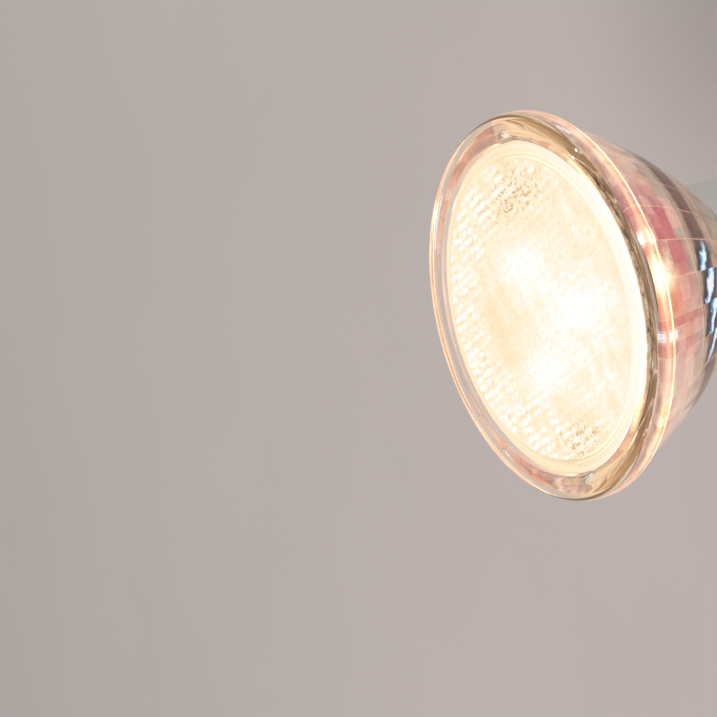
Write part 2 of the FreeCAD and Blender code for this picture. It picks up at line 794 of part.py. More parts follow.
def packaged(size, spot, legs_per_side, leg_w):
    """A flat package on the back of the driver board, with folded legs on its two long sides."""
    x, z = driver_spot(spot)
    body_y = driver_back_y - LEG_T - size[1] / 2
    body = block(size, (x, body_y, z))
    pitch = size[2] / legs_per_side
    for side in (-1, 1):
        for i in range(legs_per_side):
            leg_z = z + (i - (legs_per_side - 1) / 2) * pitch
            fold_x = x + side * (size[0] / 2 + LEG_T)
            out = block((2 * LEG_T, LEG_T, leg_w), (fold_x - side * LEG_T, body_y, leg_z))
            height = driver_back_y - body_y + LEG_T / 2
            down = block((LEG_T, height, leg_w), (fold_x, driver_back_y - height / 2, leg_z))
            toe = block((3 * LEG_T, LEG_T, leg_w),
                        (fold_x + side * LEG_T, driver_back_y - LEG_T / 2, leg_z))
            body = body.fuse(out).fuse(down).fuse(toe)
    return body.removeSplitter()


def bridge_rectifier():
    """Bridge rectifier with two legs a side."""
    return packaged(RECTIFIER_BOX, RECTIFIER_SPOT, RECTIFIER_LEGS, RECTIFIER_LEG_W)


def driver_chip():
    """Driver chip with four legs a side."""
    return packaged(CHIP_BOX, CHIP_SPOT, CHIP_LEGS, CHIP_LEG_W)


def freewheel_diode():
    """Freewheel diode with one broad leg a side."""
    return packaged(DIODE_BOX, DIODE_SPOT, DIODE_LEGS, DIODE_LEG_W)


def chip_row(size, side, z_shares):
    """A column of small chip parts beside a rail, on the back of the driver board."""
    x = side * (rail_inner_x - SMALL_RAIL_GAP - size[0] / 2)
    chips = []
    for z_share in z_shares:
        z = driver_z + z_share * driver_h
        chips.append(block(size, (x, driver_back_y - size[1] / 2, z)))
    return Part.makeCompound(chips)


def chip_resistors():
    """Four chip resistors in a column."""
    return chip_row(SMALL_RESISTOR_BOX, 1, SMALL_RESISTOR_SHARES)


def chip_capacitors():
    """Three chip capacitors in a column."""
    return chip_row(SMALL_CAPACITOR_BOX, -1, SMALL_CAPACITOR_SHARES)


def all_pieces():
    """Every piece of the bulb by name."""
    pieces = {
        "glass_reflector": glass_reflector(),
        "front_lens": front_lens(),
        "lens_seal": lens_seal(),
        "led_board": led_board(),
        "thermal_pad": thermal_pad(),
        "heat_spreader": heat_spreader(),
        "board_screws": board_screws(),
        "cement_ring": cement_ring(),
        "base_housing": base_housing(),
        "driver_board": driver_board(),
        "smoothing_capacitor": smoothing_capacitor(),
        "film_capacitor": film_capacitor(),
        "choke_core": choke_core(),
        "choke_winding": choke_winding(),
        "fusible_resistor": fusible_resistor(),
        "bridge_rectifier": bridge_rectifier(),
        "driver_chip": driver_chip(),
        "freewheel_diode": freewheel_diode(),
        "chip_resistors": chip_resistors(),
        "chip_capacitors": chip_capacitors(),
    }
    for number, azimuth in enumerate(led_azimuths, start=1):
        pieces[f"led_{number}"] = led_package(azimuth)
    for name, side in (("left", -1), ("right", 1)):
        pieces[f"contact_pin_{name}"] = contact_pin(side)
        pieces[f"input_lead_{name}"] = input_lead(side)
        pieces[f"output_lead_{name}"] = output_lead(side)
    return pieces


os.makedirs("parts", exist_ok=True)
for node, shape in all_pieces().items():
    shape.exportStep(os.path.join("parts", node + ".step"))
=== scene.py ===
"""Dresses the spotlight bulb for its picture.

The bulb stands on its contact pins with its lens up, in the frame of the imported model: metres, +Z up
along the axis, the origin midway between the pins. The glass reflector and the front lens are new
surfaces over their CAD nodes. Every other node keeps its shape and gets a worked-out finish.
"""
from __future__ import annotations

import json
import logging
import math
from dataclasses import dataclass
from enum import Enum
from functools import partialmethod

import bpy
import numpy as np
from mathutils import Matrix, Vector

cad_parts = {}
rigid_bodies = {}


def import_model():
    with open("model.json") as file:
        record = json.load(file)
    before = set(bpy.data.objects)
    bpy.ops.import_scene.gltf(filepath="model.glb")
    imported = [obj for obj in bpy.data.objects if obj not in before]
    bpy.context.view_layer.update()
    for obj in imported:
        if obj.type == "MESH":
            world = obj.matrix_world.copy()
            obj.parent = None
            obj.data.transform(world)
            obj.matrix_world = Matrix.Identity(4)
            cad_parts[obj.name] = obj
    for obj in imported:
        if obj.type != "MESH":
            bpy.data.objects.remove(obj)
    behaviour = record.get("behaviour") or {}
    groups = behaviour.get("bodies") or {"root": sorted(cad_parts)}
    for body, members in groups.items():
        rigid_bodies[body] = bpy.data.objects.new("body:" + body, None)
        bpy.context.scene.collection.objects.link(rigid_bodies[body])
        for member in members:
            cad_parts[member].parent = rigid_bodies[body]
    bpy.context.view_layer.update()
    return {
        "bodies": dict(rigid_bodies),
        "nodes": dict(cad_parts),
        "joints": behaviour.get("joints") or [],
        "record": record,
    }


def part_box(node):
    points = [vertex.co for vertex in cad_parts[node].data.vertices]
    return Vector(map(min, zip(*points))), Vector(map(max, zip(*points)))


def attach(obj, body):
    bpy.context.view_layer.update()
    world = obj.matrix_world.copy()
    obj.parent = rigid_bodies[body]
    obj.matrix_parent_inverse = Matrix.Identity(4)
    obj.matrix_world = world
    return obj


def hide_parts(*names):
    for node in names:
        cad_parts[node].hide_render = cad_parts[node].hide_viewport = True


MM = 0.001
TURN = 2 * math.pi
BODY = "root"
LOG = logging.getLogger("bulb")

Colour = tuple[float, float, float]
TINNED: Colour = (0.78, 0.78, 0.77)
BLACK: Colour = (0.0, 0.0, 0.0)
WHITE: Colour = (1.0, 1.0, 1.0)
ORIGIN = (0.0, 0.0, 0.0)
EVEN = (1.0, 1.0, 1.0)


def shown(red: float, green: float, blue: float) -> Colour:
    """Linear light of a colour given as it shows on a screen, 0 to 255."""
    parts = (red / 255, green / 255, blue / 255)
    return tuple(p / 12.92 if p <= 0.04045 else ((p + 0.055) / 1.055) ** 2.4 for p in parts)


def scaled(colour: Colour, share: float) -> Colour:
    """A colour made lighter or darker by a share."""
    return tuple(part * share for part in colour)


def placed(name: str, data: bpy.types.ID) -> bpy.types.Object:
    """A new object that holds the data, linked to the scene."""
    item = bpy.data.objects.new(name, data)
    bpy.context.scene.collection.objects.link(item)
    return item


class Calc(Enum):
    """The sums that the finishes need from a Math node."""

    ADD = "ADD"
    SUBTRACT = "SUBTRACT"
    MULTIPLY = "MULTIPLY"
    ABSOLUTE = "ABSOLUTE"
    GREATER = "GREATER_THAN"
    LESS = "LESS_THAN"
    SINE = "SINE"
    MODULO = "FLOORED_MODULO"
    ANGLE = "ARCTAN2"
    MAXIMUM = "MAXIMUM"


@dataclass(frozen=True)
class Value:
    """What comes out of a node: a number, a colour or a vector. Sums with it add nodes to its graph.

    A comparison gives 1 or 0, and the remainder is never below 0.
    """

    graph: Graph
    socket: bpy.types.NodeSocket

    def calc(self, how: Calc, other: Feed = 0.0) -> Value:
        """A sum of this value and another."""
        return self.graph.add("ShaderNodeMath", {0: self, 1: other}, operation=how.value)

    __add__ = partialmethod(calc, Calc.ADD)
    __sub__ = partialmethod(calc, Calc.SUBTRACT)
    __mul__ = partialmethod(calc, Calc.MULTIPLY)
    __mod__ = partialmethod(calc, Calc.MODULO)
    __gt__ = partialmethod(calc, Calc.GREATER)
    __lt__ = partialmethod(calc, Calc.LESS)
    __abs__ = partialmethod(calc, Calc.ABSOLUTE)
    sine = partialmethod(calc, Calc.SINE)
    most = partialmethod(calc, Calc.MAXIMUM)

    def axis(self, letter: str) -> Value:
        """One component of this vector, X, Y or Z."""
        return self.graph.add("ShaderNodeSeparateXYZ", {0: self}, letter)

    def angle(self) -> Value:
        """Angle of this place round the Z axis, from +X."""
        return self.axis("Y").calc(Calc.ANGLE, self.axis("X"))

    def radius(self) -> Value:
        """Distance of this place from the Z axis."""
        flat = self.graph.add("ShaderNodeVectorMath", {0: self, 1: (1.0, 1.0, 0.0)}, operation="MULTIPLY")
        return self.graph.add("ShaderNodeVectorMath", {0: flat}, "Value", operation="LENGTH")

    def around(self, turns: float, step: float) -> Value:
        """This place on rings about the Z axis: angle in so many lengths a turn, the rest in steps."""
        parts = (self.angle() * (turns / TURN), self.radius() * (1 / step), self.axis("Z") * (1 / step))
        return self.graph.add("ShaderNodeCombineXYZ", dict(enumerate(parts)))

    def span(self, low: float, high: float, start: float = 0.0, end: float = 1.0) -> Value:
        """This value carried from low and high to start and end, and held there beyond them."""
        feeds = {"Value": self, "From Min": low, "From Max": high, "To Min": start, "To Max": end}
        return self.graph.add("ShaderNodeMapRange", feeds)

    def between(self, start: float, full: float, last: float, end: float) -> Value:
        """0 up to the start, 1 from full to last, and 0 again from the end on."""
        return self.span(start, full) * self.span(end, last)

    def noise(self, size: float, detail: float = 3.0, rough: float = 0.5) -> Value:
        """Clouds of a size in metres with their finer layers, read at this place, from 0 to 1."""
        feeds = {"Vector": self, "Scale": 1 / size, "Detail": detail, "Roughness": rough}
        return self.graph.add("ShaderNodeTexNoise", feeds)

    def cells(self, size: float, feature: str = "F1") -> Value:
        """Distance in a pattern of cells of a size in metres, read at this place."""
        feeds = {"Vector": self, "Scale": 1 / size}
        return self.graph.add("ShaderNodeTexVoronoi", feeds, "Distance", feature=feature)

    def ramp(self, *stops: tuple[float, Colour]) -> Value:
        """A colour read at this value from stops along a line.

        Args:
            *stops: Positions from 0 to 1, each with its colour.

        Returns:
            The colour.
        """
        colour = self.graph.add("ShaderNodeValToRGB", {0: self})
        line = colour.socket.node.color_ramp.elements
        while len(line) < len(stops):
            line.new(1.0)
        for element, (position, tone) in zip(line, stops):
            element.position = position
            element.color = (*tone, 1.0)
        return colour

    def shades(self, colour: Colour, low: float, high: float, dark: float, light: float = 1.0) -> Value:
        """Shades of one colour, from its dark share at the low value to its light share at the high."""
        return self.ramp((low, scaled(colour, dark)), (high, scaled(colour, light)))

    def mix(self, first: Feed, second: Feed) -> Value:
        """The first colour where this value is 0, the second where it is 1."""
        return self.graph.add("ShaderNodeMix", {0: self, 6: first, 7: second}, 2, data_type="RGBA")

    def tinted(self, other: Feed) -> Value:
        """This colour times another."""
        feeds = {0: 1.0, 6: self, 7: other}
        return self.graph.add("ShaderNodeMix", feeds, 2, data_type="RGBA", blend_type="MULTIPLY")

    def bump(self, depth: float) -> Value:
        """A normal raised by this height, whose step from 0 to 1 is the depth in metres."""
        return self.graph.add("ShaderNodeBump", {"Height": self, "Distance": depth, "Strength": 1.0})


Feed = Value | float | tuple
Feeds = dict[str | int, Feed]


class Graph:
    """One material's node tree."""

    def __init__(self, name: str) -> None:
        """Starts a material of that name with a Principled surface."""
        self.material = bpy.data.materials.new(name)
        self.material.use_nodes = True
        self.tree = self.material.node_tree
        self.tree.nodes.clear()
        self.shader = self.tree.nodes.new("ShaderNodeBsdfPrincipled")
        output = self.tree.nodes.new("ShaderNodeOutputMaterial")
        self.tree.links.new(self.shader.outputs["BSDF"], output.inputs["Surface"])

    def feed(self, node: bpy.types.Node, feeds: Feeds) -> None:
        """Fills a node's inputs: values are linked, numbers and colours set.

        Args:
            node: The node.
            feeds: What goes in, by the input's name or index.
        """
        for key, value in feeds.items():
            socket = node.inputs[key]
            if isinstance(value, Value):
                self.tree.links.new(value.socket, socket)
            elif socket.type == "RGBA" and len(value) == 3:
                socket.default_value = (*value, 1.0)
            else:
                socket.default_value = value

    def add(self, kind: str, feeds: Feeds, out: str | int = 0, **settings: object) -> Value:
        """Adds a node.

        Args:
            kind: The node type's own name.
            feeds: What goes into its inputs.
            out: The output to hand back.
            **settings: The node's own settings.

        Returns:
            The chosen output.
        """
        node = self.tree.nodes.new(kind)
        for key, setting in settings.items():
            setattr(node, key, setting)
        self.feed(node, feeds)
        return Value(self, node.outputs[out])

    def place(self, centre: tuple = ORIGIN, stretch: tuple = EVEN) -> Value:
        """Place of a point in metres.

        Args:
            centre: The point that it is measured from.
            stretch: Factor on each axis.

        Returns:
            The place, a vector.
        """
        coords = self.add("ShaderNodeTexCoord", {}, "Object")
        shift = tuple(-c * s for c, s in zip(centre, stretch))
        return self.add("ShaderNodeMapping", {"Vector": coords, "Location": shift, "Scale": stretch})

    def attribute(self, name: str, out: str) -> Value:
        """An attribute of the mesh, as a number (Fac) or as a colour (Color)."""
        return self.add("ShaderNodeAttribute", {}, out, attribute_name=name)


@dataclass(frozen=True)
class Finish:
    """A worked-out material. Its patterns are read at places from its centre, stretched on each axis."""

    name: str
    colour: Colour = (0.8, 0.8, 0.8)
    centre: tuple = ORIGIN
    stretch: tuple = EVEN

    def look(self, graph: Graph, place: Value) -> Feeds:
        """What goes into the Principled surface.

        Args:
            graph: The material's graph.
            place: Place of a point, from the centre and stretched.

        Returns:
            Feeds by the names of the inputs.
        """
        raise NotImplementedError

    def make(self) -> bpy.types.Material:
        """The material."""
        graph = Graph(self.name)
        graph.feed(graph.shader, self.look(graph, graph.place(self.centre, self.stretch)))
        return graph.material

    @staticmethod
    def part_metal(metal: Value, body: Value, tin: Colour, *roughs: float) -> Feeds:
        """Feeds of a body with bare metal on it, where the first value is 1, and of their roughness."""
        rough = metal.span(0.0, 1.0, *roughs)
        return {"Base Color": metal.mix(body, tin), "Metallic": metal, "Roughness": rough}


@dataclass(frozen=True)
class ClearGlass(Finish):
    """Pressed clear glass with painted tones: the shade and reflections of what lies behind it.

    Round the rim's face the painted tone runs from clear on the +Y side to tan and dark speckled on the -Y
    side: painted shade and reflections. Lamp light, painted as glow, runs round inside the rim and leaves
    at the lower half of its side. A bearing is the share of a turn from +X.
    """

    name: str = "pressed_glass"
    colour: Colour = (0.985, 0.98, 0.965)
    wave: float = 9 * MM
    wave_depth: float = 0.006 * MM
    # Painted glow for the lamp light that the glass carries: a faint stray glow over it all, stronger at
    # the rim's side and lip.
    stray_glow: Colour = (1.0, 0.6, 0.3)
    stray_strength: float = 0.045
    edge_strength: float = 0.75
    near_light: Colour = (6.6, 5.0, 3.7)
    lip_light: Colour = (1.2, 1.1, 0.9)
    face_r: float = 21.6 * MM
    lip_r: float = 22.15 * MM
    shade_band_r: float = 22.7 * MM
    side_r: float = 24.2 * MM
    bevel_r: float = 24.3 * MM
    ridge_z: float = 52.75 * MM
    face_z: float = 52.85 * MM
    lip_z: float = 53.5 * MM
    side_z: float = 53.6 * MM

    def tones(self, bearing: Value) -> Value:
        """Painted tone of the rim's face: the shade and reflections seen through the glass, by bearing."""
        return bearing.ramp(
            (0.0, (0.96, 0.82, 0.64)), (0.06, (0.96, 0.9, 0.82)), (0.25, self.colour),
            (0.44, (1.0, 0.93, 0.86)), (0.53, (0.9, 0.74, 0.5)), (0.6, (0.7, 0.5, 0.27)),
            (0.66, (0.6, 0.44, 0.28)), (0.7, (0.5, 0.35, 0.22)), (0.82, (0.5, 0.35, 0.21)),
            (0.86, (0.78, 0.6, 0.38)), (0.91, (0.94, 0.76, 0.52)), (1.0, (0.98, 0.88, 0.76)),
        )

    def speckled(self, place: Value, tone: Value, bearing: Value) -> Value:
        """The tone with painted specks over it, pale and cold ones of painted reflection and dark ones of
        painted shade, and painted warm light towards the bevel.

        Args:
            place: Place of the point.
            tone: Painted tone of the rim's face.
            bearing: Bearing of the point.

        Returns:
            The speckled tone.
        """
        # Painted reflections in the pale and cold specks, painted shade in the dark ones, painted warm
        # light towards the bevel.
        specks = place.around(84.0, 0.9 * MM).noise(1.0, 4.0, 0.7)
        shade_specks = specks.span(0.48, 0.42, 0.0, 0.95) * bearing.between(0.64, 0.7, 0.84, 0.9)
        outer = place.radius().span(self.shade_band_r + 0.5 * MM, self.bevel_r, 0.0, 0.8)
        for share, colour in ((specks.span(0.53, 0.6, 0.0, 0.8), (0.9, 0.78, 0.64)),
                              (specks.span(0.6, 0.63, 0.0, 0.8), (0.66, 0.84, 0.86)),
                              (shade_specks, (0.05, 0.03, 0.015)),
                              (outer, (0.96, 0.7, 0.4))):
            tone = share.mix(tone, colour)
        return tone

    def side_share(self, place: Value) -> Value:
        """How much light leaves the rim's side, most of all from a streaked ridge.

        Args:
            place: Place of the point.

        Returns:
            The share of the light, 0 off the side.
        """
        rise = place.axis("Z")
        ridge = abs(rise - self.ridge_z).span(0.5 * MM, 0.15 * MM, 0.42, 1.0)
        side = rise.span(self.side_z, self.side_z - 0.5 * MM) * ridge * (place.radius() > self.side_r)
        return side * place.around(26.0, 0.5 * MM).noise(1.0, 4.0, 0.7).span(0.34, 0.64, 0.12, 1.2)

    def side_light(self, bearing: Value) -> Value:
        """Colour of the light that leaves the rim's side."""
        return bearing.ramp(
            (0.0, (0.4, 0.24, 0.13)), (0.07, (0.12, 0.08, 0.05)), (0.16, (0.12, 0.08, 0.05)),
            (0.21, (0.9, 0.42, 0.22)), (0.27, (0.8, 0.36, 0.2)), (0.33, (0.12, 0.08, 0.05)),
            (0.5, (0.4, 0.25, 0.13)), (0.6, (0.95, 0.5, 0.24)), (0.66, (1.0, 0.68, 0.36)),
            (0.7, (1.0, 0.52, 0.26)), (0.735, (1.0, 0.78, 0.5)), (0.755, (1.4, 1.2, 0.9)),
            (0.77, (1.2, 0.85, 0.5)), (0.785, (1.0, 0.42, 0.18)), (0.818, (1.0, 0.5, 0.24)),
            (0.828, (1.4, 1.15, 0.75)), (0.84, (0.9, 0.45, 0.2)), (0.9, (0.45, 0.27, 0.13)),
            (1.0, (0.4, 0.24, 0.13)),
        )

    def look(self, graph: Graph, place: Value) -> Feeds:
        """Clear glass, with the painted tones of the rim's face and the painted light in its rim."""
        rise = place.axis("Z")
        reach = place.radius()
        bearing = place.angle() * (1 / TURN) % 1.0
        near = bearing.span(0.45, 0.55)
        face = (rise > self.face_z) * reach.between(self.face_r, self.face_r + 0.05 * MM,
                                                    self.bevel_r, self.bevel_r + 0.15 * MM)
        tone = self.tones(bearing)
        speckled = self.speckled(place, tone, bearing)
        # Painted light: a gold band next to the lens, where its lit edge shows through the glass.
        inner = reach.span(self.shade_band_r - 0.4 * MM, self.shade_band_r).mix((0.92, 0.72, 0.46), speckled)
        # Painted glow: rings of stray lamp light, and on the -Y side of the face warm lines that glow in
        # the painted tone.
        rings = place.around(5.0, 0.5 * MM).noise(1.0, 3.0, 0.6)
        stray_glow = rings.ramp((0.3, scaled(self.stray_glow, 0.3)), (0.6, self.stray_glow), (0.75, (1.0, 0.8, 0.6)))
        lines = place.around(3.0, 0.25 * MM).noise(1.0, 3.0, 0.6)
        warm = face * near * lines.span(0.32, 0.68, 0.2, 1.6)
        side = self.side_share(place)
        lit = side.mix(warm.mix(stray_glow, speckled.tinted(self.near_light)), self.side_light(bearing))
        lip = reach.span(self.lip_r + 0.25 * MM, self.lip_r) * (rise > self.lip_z)
        lip = lip * bearing.between(0.61, 0.67, 0.84, 0.89)
        glow = side.most(lip)
        return {
            "Base Color": face.mix(self.colour, near.mix(tone, inner)),
            "Roughness": 0.012,
            "IOR": 1.5,
            "Transmission Weight": 1.0,
            "Emission Color": lip.mix(lit, self.lip_light),
            "Emission Strength": glow.span(0.0, 1.0, self.stray_strength, self.edge_strength),
            "Normal": place.noise(self.wave, 1.0).bump(self.wave_depth),
        }


@dataclass(frozen=True)
class MirrorCoat(Finish):
    """Thin coloured mirror coat behind the facets, which lets a little lamp light through.

    On the middle row of facets it shows painted reflections: slanting cold flashes with dark edges, one to
    a facet.
    """

    name: str = "facet_mirror"
    cloud: float = 2.2 * MM
    columns: int = 28
    row_top: float = 43.47 * MM
    row_foot: float = 37.21 * MM
    flash_deg: float = 257.0
    # Glow of the painted flashes.
    flash_glow: Colour = (0.62, 0.62, 0.62)

    def flashes(self, place: Value) -> tuple[Value, Value]:
        """The slanting flashes of painted reflection, each a line down its facet with a ragged edge.

        Args:
            place: Place of the point.

        Returns:
            Their colour, and how far they cover the coat.
        """
        angle = place.angle()
        along = angle * (self.columns / TURN) % 1.0
        down = place.axis("Z").span(self.row_top, self.row_foot)
        ragged = place.noise(1.5 * MM, 5.0, 0.6) * 0.5
        away = abs(down - (along * 0.34 + 0.1) - ragged + 0.06)
        colour = away.ramp(
            (0.0, shown(250, 254, 255)), (0.05, shown(226, 246, 255)), (0.08, shown(110, 205, 240)),
            (0.115, shown(24, 96, 186)), (0.15, shown(8, 18, 34)), (0.3, shown(30, 30, 36)),
        )
        turns = angle * 3.0 - math.radians(3 * self.flash_deg - 90)
        where = turns.sine().span(0.2, 0.5)
        inside = abs(down - 0.5).span(0.47, 0.44)
        return colour, where * inside * away.span(0.34, 0.2)

    def look(self, graph: Graph, place: Value) -> Feeds:
        """The coat, whose colour and painted glow come from the mesh, with the painted flashes over them.
        """
        shade = place.noise(self.cloud, 5.0, 0.66).ramp(
            (0.32, (0.72, 0.6, 0.62)), (0.46, (1.0, 0.94, 0.93)), (0.58, (1.05, 1.04, 1.0)),
            (0.7, (1.15, 1.16, 1.1)),
        )
        flash, cover = self.flashes(place)
        return {
            "Base Color": cover.mix(graph.attribute("coat_colour_and_painted_light", "Color").tinted(shade), flash),
            "Metallic": 0.85,
            "Roughness": 0.11,
            "Emission Color": cover.mix(graph.attribute("glow", "Color").tinted(shade),
                                        flash.tinted(self.flash_glow)),
            "Emission Strength": 1.0,
            "Normal": place.noise(2.2 * MM, 2.0).bump(0.04 * MM),
        }


@dataclass(frozen=True)
class LitLens(Finish):
    """Clear moulded plastic that the light sources fill with warm light."""

    name: str = "lit_lens"
    border_r: float = 19.32 * MM

    def look(self, graph: Graph, place: Value) -> Feeds:
        """Lit plastic, whose light comes from the mesh, with fine grain and lines round the border."""
        grain = place.noise(0.22 * MM, 3.0, 0.7).span(0.3, 0.7, -0.07, 0.07)
        rings = place.around(1.5, 0.3 * MM).noise(1.0, 4.0, 0.7)
        lines = (place.radius() > self.border_r) * rings.span(0.36, 0.62, -0.2, 0.1)
        light = graph.attribute("light", "Fac") + (grain + lines)
        colour = light.ramp(
            (0.0, shown(120, 92, 66)), (0.16, shown(206, 168, 124)), (0.4, shown(250, 224, 180)),
            (0.55, shown(253, 236, 205)), (0.76, shown(255, 246, 230)), (1.0, WHITE),
        )
        return {
            "Base Color": (0.05, 0.046, 0.04),
            "Roughness": 0.18,
            "IOR": 1.49,
            "Emission Color": colour,
            "Emission Strength": 0.96,
        }


@dataclass(frozen=True)
class LensFlank(Finish):
    """Outer edge of the lens, where warm light leaves sideways into the glass rim."""

    name: str = "lens_flank"
    colour: Colour = (1.0, 0.62, 0.32)
    stretch: tuple = (1.0, 1.0, 6.0)
    strength: float = 1.7

    def look(self, graph: Graph, place: Value) -> Feeds:
        """A glowing edge with streaks."""
        streaks = place.noise(5 * MM, 3.0, 0.6)
        stops = ((0.38, scaled(self.colour, 0.35)), (0.55, self.colour), (0.7, (1.0, 0.9, 0.72)))
        return {
            "Base Color": (0.3, 0.24, 0.18),
            "Roughness": 0.25,
            "Emission Color": streaks.ramp(*stops),
            "Emission Strength": self.strength,
        }


@dataclass(frozen=True)
class SatinPlastic(Finish):
    """Spark-eroded moulding with a fine grain and a faint mottle."""

    roughness: float = 0.42
    grain: float = 0.16 * MM
    grain_depth: float = 0.008 * MM
    mottle: float = 6 * MM

    def look(self, graph: Graph, place: Value) -> Feeds:
        """Mottled plastic with its grain."""
        cloud = place.noise(self.mottle, 4.0)
        return {
            "Base Color": cloud.shades(self.colour, 0.35, 0.65, 0.93),
            "Roughness": cloud.span(0.3, 0.7, self.roughness - 0.05, self.roughness + 0.06),
            "Normal": place.noise(self.grain, 2.0).bump(self.grain_depth),
        }


@dataclass(frozen=True)
class PlatedMetal(Finish):
    """Turned and plated metal with faint turning lines round its own axis."""

    roughness: float = 0.24
    line_pitch: float = 0.12 * MM

    def look(self, graph: Graph, place: Value) -> Feeds:
        """Clouded metal with its turning lines."""
        lines = ((place.radius() + place.axis("Z")) * (TURN / self.line_pitch)).sine()
        cloud = place.noise(1.6 * MM, 4.0, 0.6)
        return {
            "Base Color": cloud.shades(self.colour, 0.3, 0.6, 0.82),
            "Metallic": 1.0,
            "Roughness": cloud.span(0.25, 0.75, self.roughness - 0.06, self.roughness + 0.12),
            "Normal": lines.span(-1.0, 1.0).bump(0.003 * MM),
        }


@dataclass(frozen=True)
class SpunMetal(Finish):
    """Spun aluminium with brushed rings round the bulb's axis."""

    name: str = "spun_aluminium"
    colour: Colour = (0.83, 0.83, 0.84)
    ring_size: float = 0.35 * MM

    def look(self, graph: Graph, place: Value) -> Feeds:
        """Metal with rings that go by the radius and the height."""
        reach = place.radius() + place.axis("Z") * 0.6
        rings = graph.add("ShaderNodeCombineXYZ", {0: reach}).noise(self.ring_size, 5.0, 0.7)
        return {
            "Base Color": rings.shades(self.colour, 0.3, 0.7, 0.8),
            "Metallic": 1.0,
            "Roughness": rings.span(0.3, 0.7, 0.26, 0.42),
            "Normal": rings.bump(0.01 * MM),
        }


@dataclass(frozen=True)
class MattMineral(Finish):
    """Fired or set mineral with grains and fine pores, such as cement or ferrite."""

    roughness: float = 0.8
    grain: float = 0.3 * MM
    depth: float = 0.03 * MM

    def look(self, graph: Graph, place: Value) -> Feeds:
        """Grains with painted shade in the pores between them."""
        grains = place.noise(self.grain, 5.0, 0.65)
        # Painted shade: the pores are darker than the grains.
        solid = place.cells(self.grain * 2).span(0.05, 0.25)
        colour = grains.ramp((0.3, scaled(self.colour, 0.72)), (0.5, self.colour),
                             (0.72, scaled(self.colour, 1.1)))
        return {
            "Base Color": solid.mix(scaled(self.colour, 0.55), colour),
            "Roughness": self.roughness,
            "Normal": (grains * solid).bump(self.depth),
        }


@dataclass(frozen=True)
class SoftSilicone(Finish):
    """Silicone, satin and slightly cloudy, with specks of dust held in it."""

    speck: Colour = (0.3, 0.34, 0.4)
    speck_share: float = 0.3

    def look(self, graph: Graph, place: Value) -> Feeds:
        """Clouds with specks over them."""
        cloud = place.noise(2.4 * MM, 5.0, 0.7)
        specks = place.noise(0.35 * MM, 3.0, 0.7)
        mask = specks.span(0.62 - self.speck_share * 0.3, 0.72 - self.speck_share * 0.2)
        return {
            "Base Color": mask.mix(cloud.shades(self.colour, 0.32, 0.66, 0.66), self.speck),
            "Roughness": 0.36,
            "Normal": cloud.bump(0.05 * MM),
        }


@dataclass(frozen=True)
class CoatedBoard(Finish):
    """Circuit board: solder mask over etched tracks. A stretch of 0 marks the axis square to it."""

    track: Colour = (0.7, 0.7, 0.66)
    pitch: float = 1.3 * MM

    def look(self, graph: Graph, place: Value) -> Feeds:
        """Mask with tracks between the cells of a pattern."""
        tracks = place.cells(self.pitch * 2.2, "DISTANCE_TO_EDGE").span(0.05, 0.09)
        cloud = place.noise(5 * MM, 4.0)
        return {
            "Base Color": tracks.mix(self.track, cloud.shades(self.colour, 0.3, 0.7, 0.88)),
            "Roughness": cloud.span(0.3, 0.7, 0.26, 0.36),
            "Coat Weight": 0.3,
            "Coat Roughness": 0.15,
            "Normal": tracks.bump(0.03 * MM),
        }


@dataclass(frozen=True)
class LitSource(Finish):
    """Light source: white ceramic body, and a lit yellow phosphor under the dome."""

    colour: Colour = (0.88, 0.87, 0.84)
    dome_r: float = 1.3 * MM

    def look(self, graph: Graph, place: Value) -> Feeds:
        """Phosphor within the dome's radius, ceramic outside it."""
        dome = place.radius().span(self.dome_r * 1.04, self.dome_r * 0.97)
        grain = place.noise(0.12 * MM, 3.0, 0.7)
        phosphor = grain.ramp((0.3, shown(255, 214, 120)), (0.7, shown(255, 238, 190)))
        return {
            "Base Color": dome.mix(self.colour, phosphor),
            "Roughness": dome.span(0.0, 1.0, 0.5, 0.08),
            "Emission Color": dome.mix(BLACK, phosphor),
            "Emission Strength": 1.6,
            "Normal": grain.bump(0.006 * MM),
        }


@dataclass(frozen=True)
class WoundCopper(Finish):
    """Enamelled copper wire wound in turns round the choke's axis, which lies along Y."""

    name: str = "wound_copper"
    colour: Colour = (0.72, 0.34, 0.16)
    wire: float = 0.3 * MM

    def look(self, graph: Graph, place: Value) -> Feeds:
        """Turns of wire, with painted shade between them and a painted highlight on their crests."""
        turns = (place.axis("Y") * (TURN / self.wire)).sine().span(-1.0, 1.0)
        # Painted shade in the grooves between the turns, and a painted highlight on their crests.
        stops = ((0.05, scaled(self.colour, 0.25)), (0.5, self.colour), (1.0, (0.95, 0.55, 0.3)))
        return {
            "Base Color": turns.ramp(*stops),
            "Metallic": 0.85,
            "Roughness": 0.28,
            "Coat Weight": 0.5,
            "Coat Roughness": 0.08,
            "Normal": turns.bump(0.08 * MM),
        }


@dataclass(frozen=True)
class TinnedPart(Finish):
    """Board part: a moulded body of a half size on each axis, with bright tinned metal beyond it."""

    colour: Colour = (0.02, 0.02, 0.022)
    half: tuple = (MM, MM, MM)

    def look(self, graph: Graph, place: Value) -> Feeds:
        """Body inside the half sizes, tin outside them."""
        outside = 0.0
        for letter, reach in zip("XYZ", self.half):
            outside = (abs(place.axis(letter)) > reach).most(outside)
        cloud = place.noise(0.5 * MM, 4.0, 0.6)
        body = cloud.shades(self.colour, 0.3, 0.7, 0.8, 1.15)
        return self.part_metal(outside, body, TINNED, 0.5, 0.25) | {"Normal": cloud.bump(0.01 * MM)}


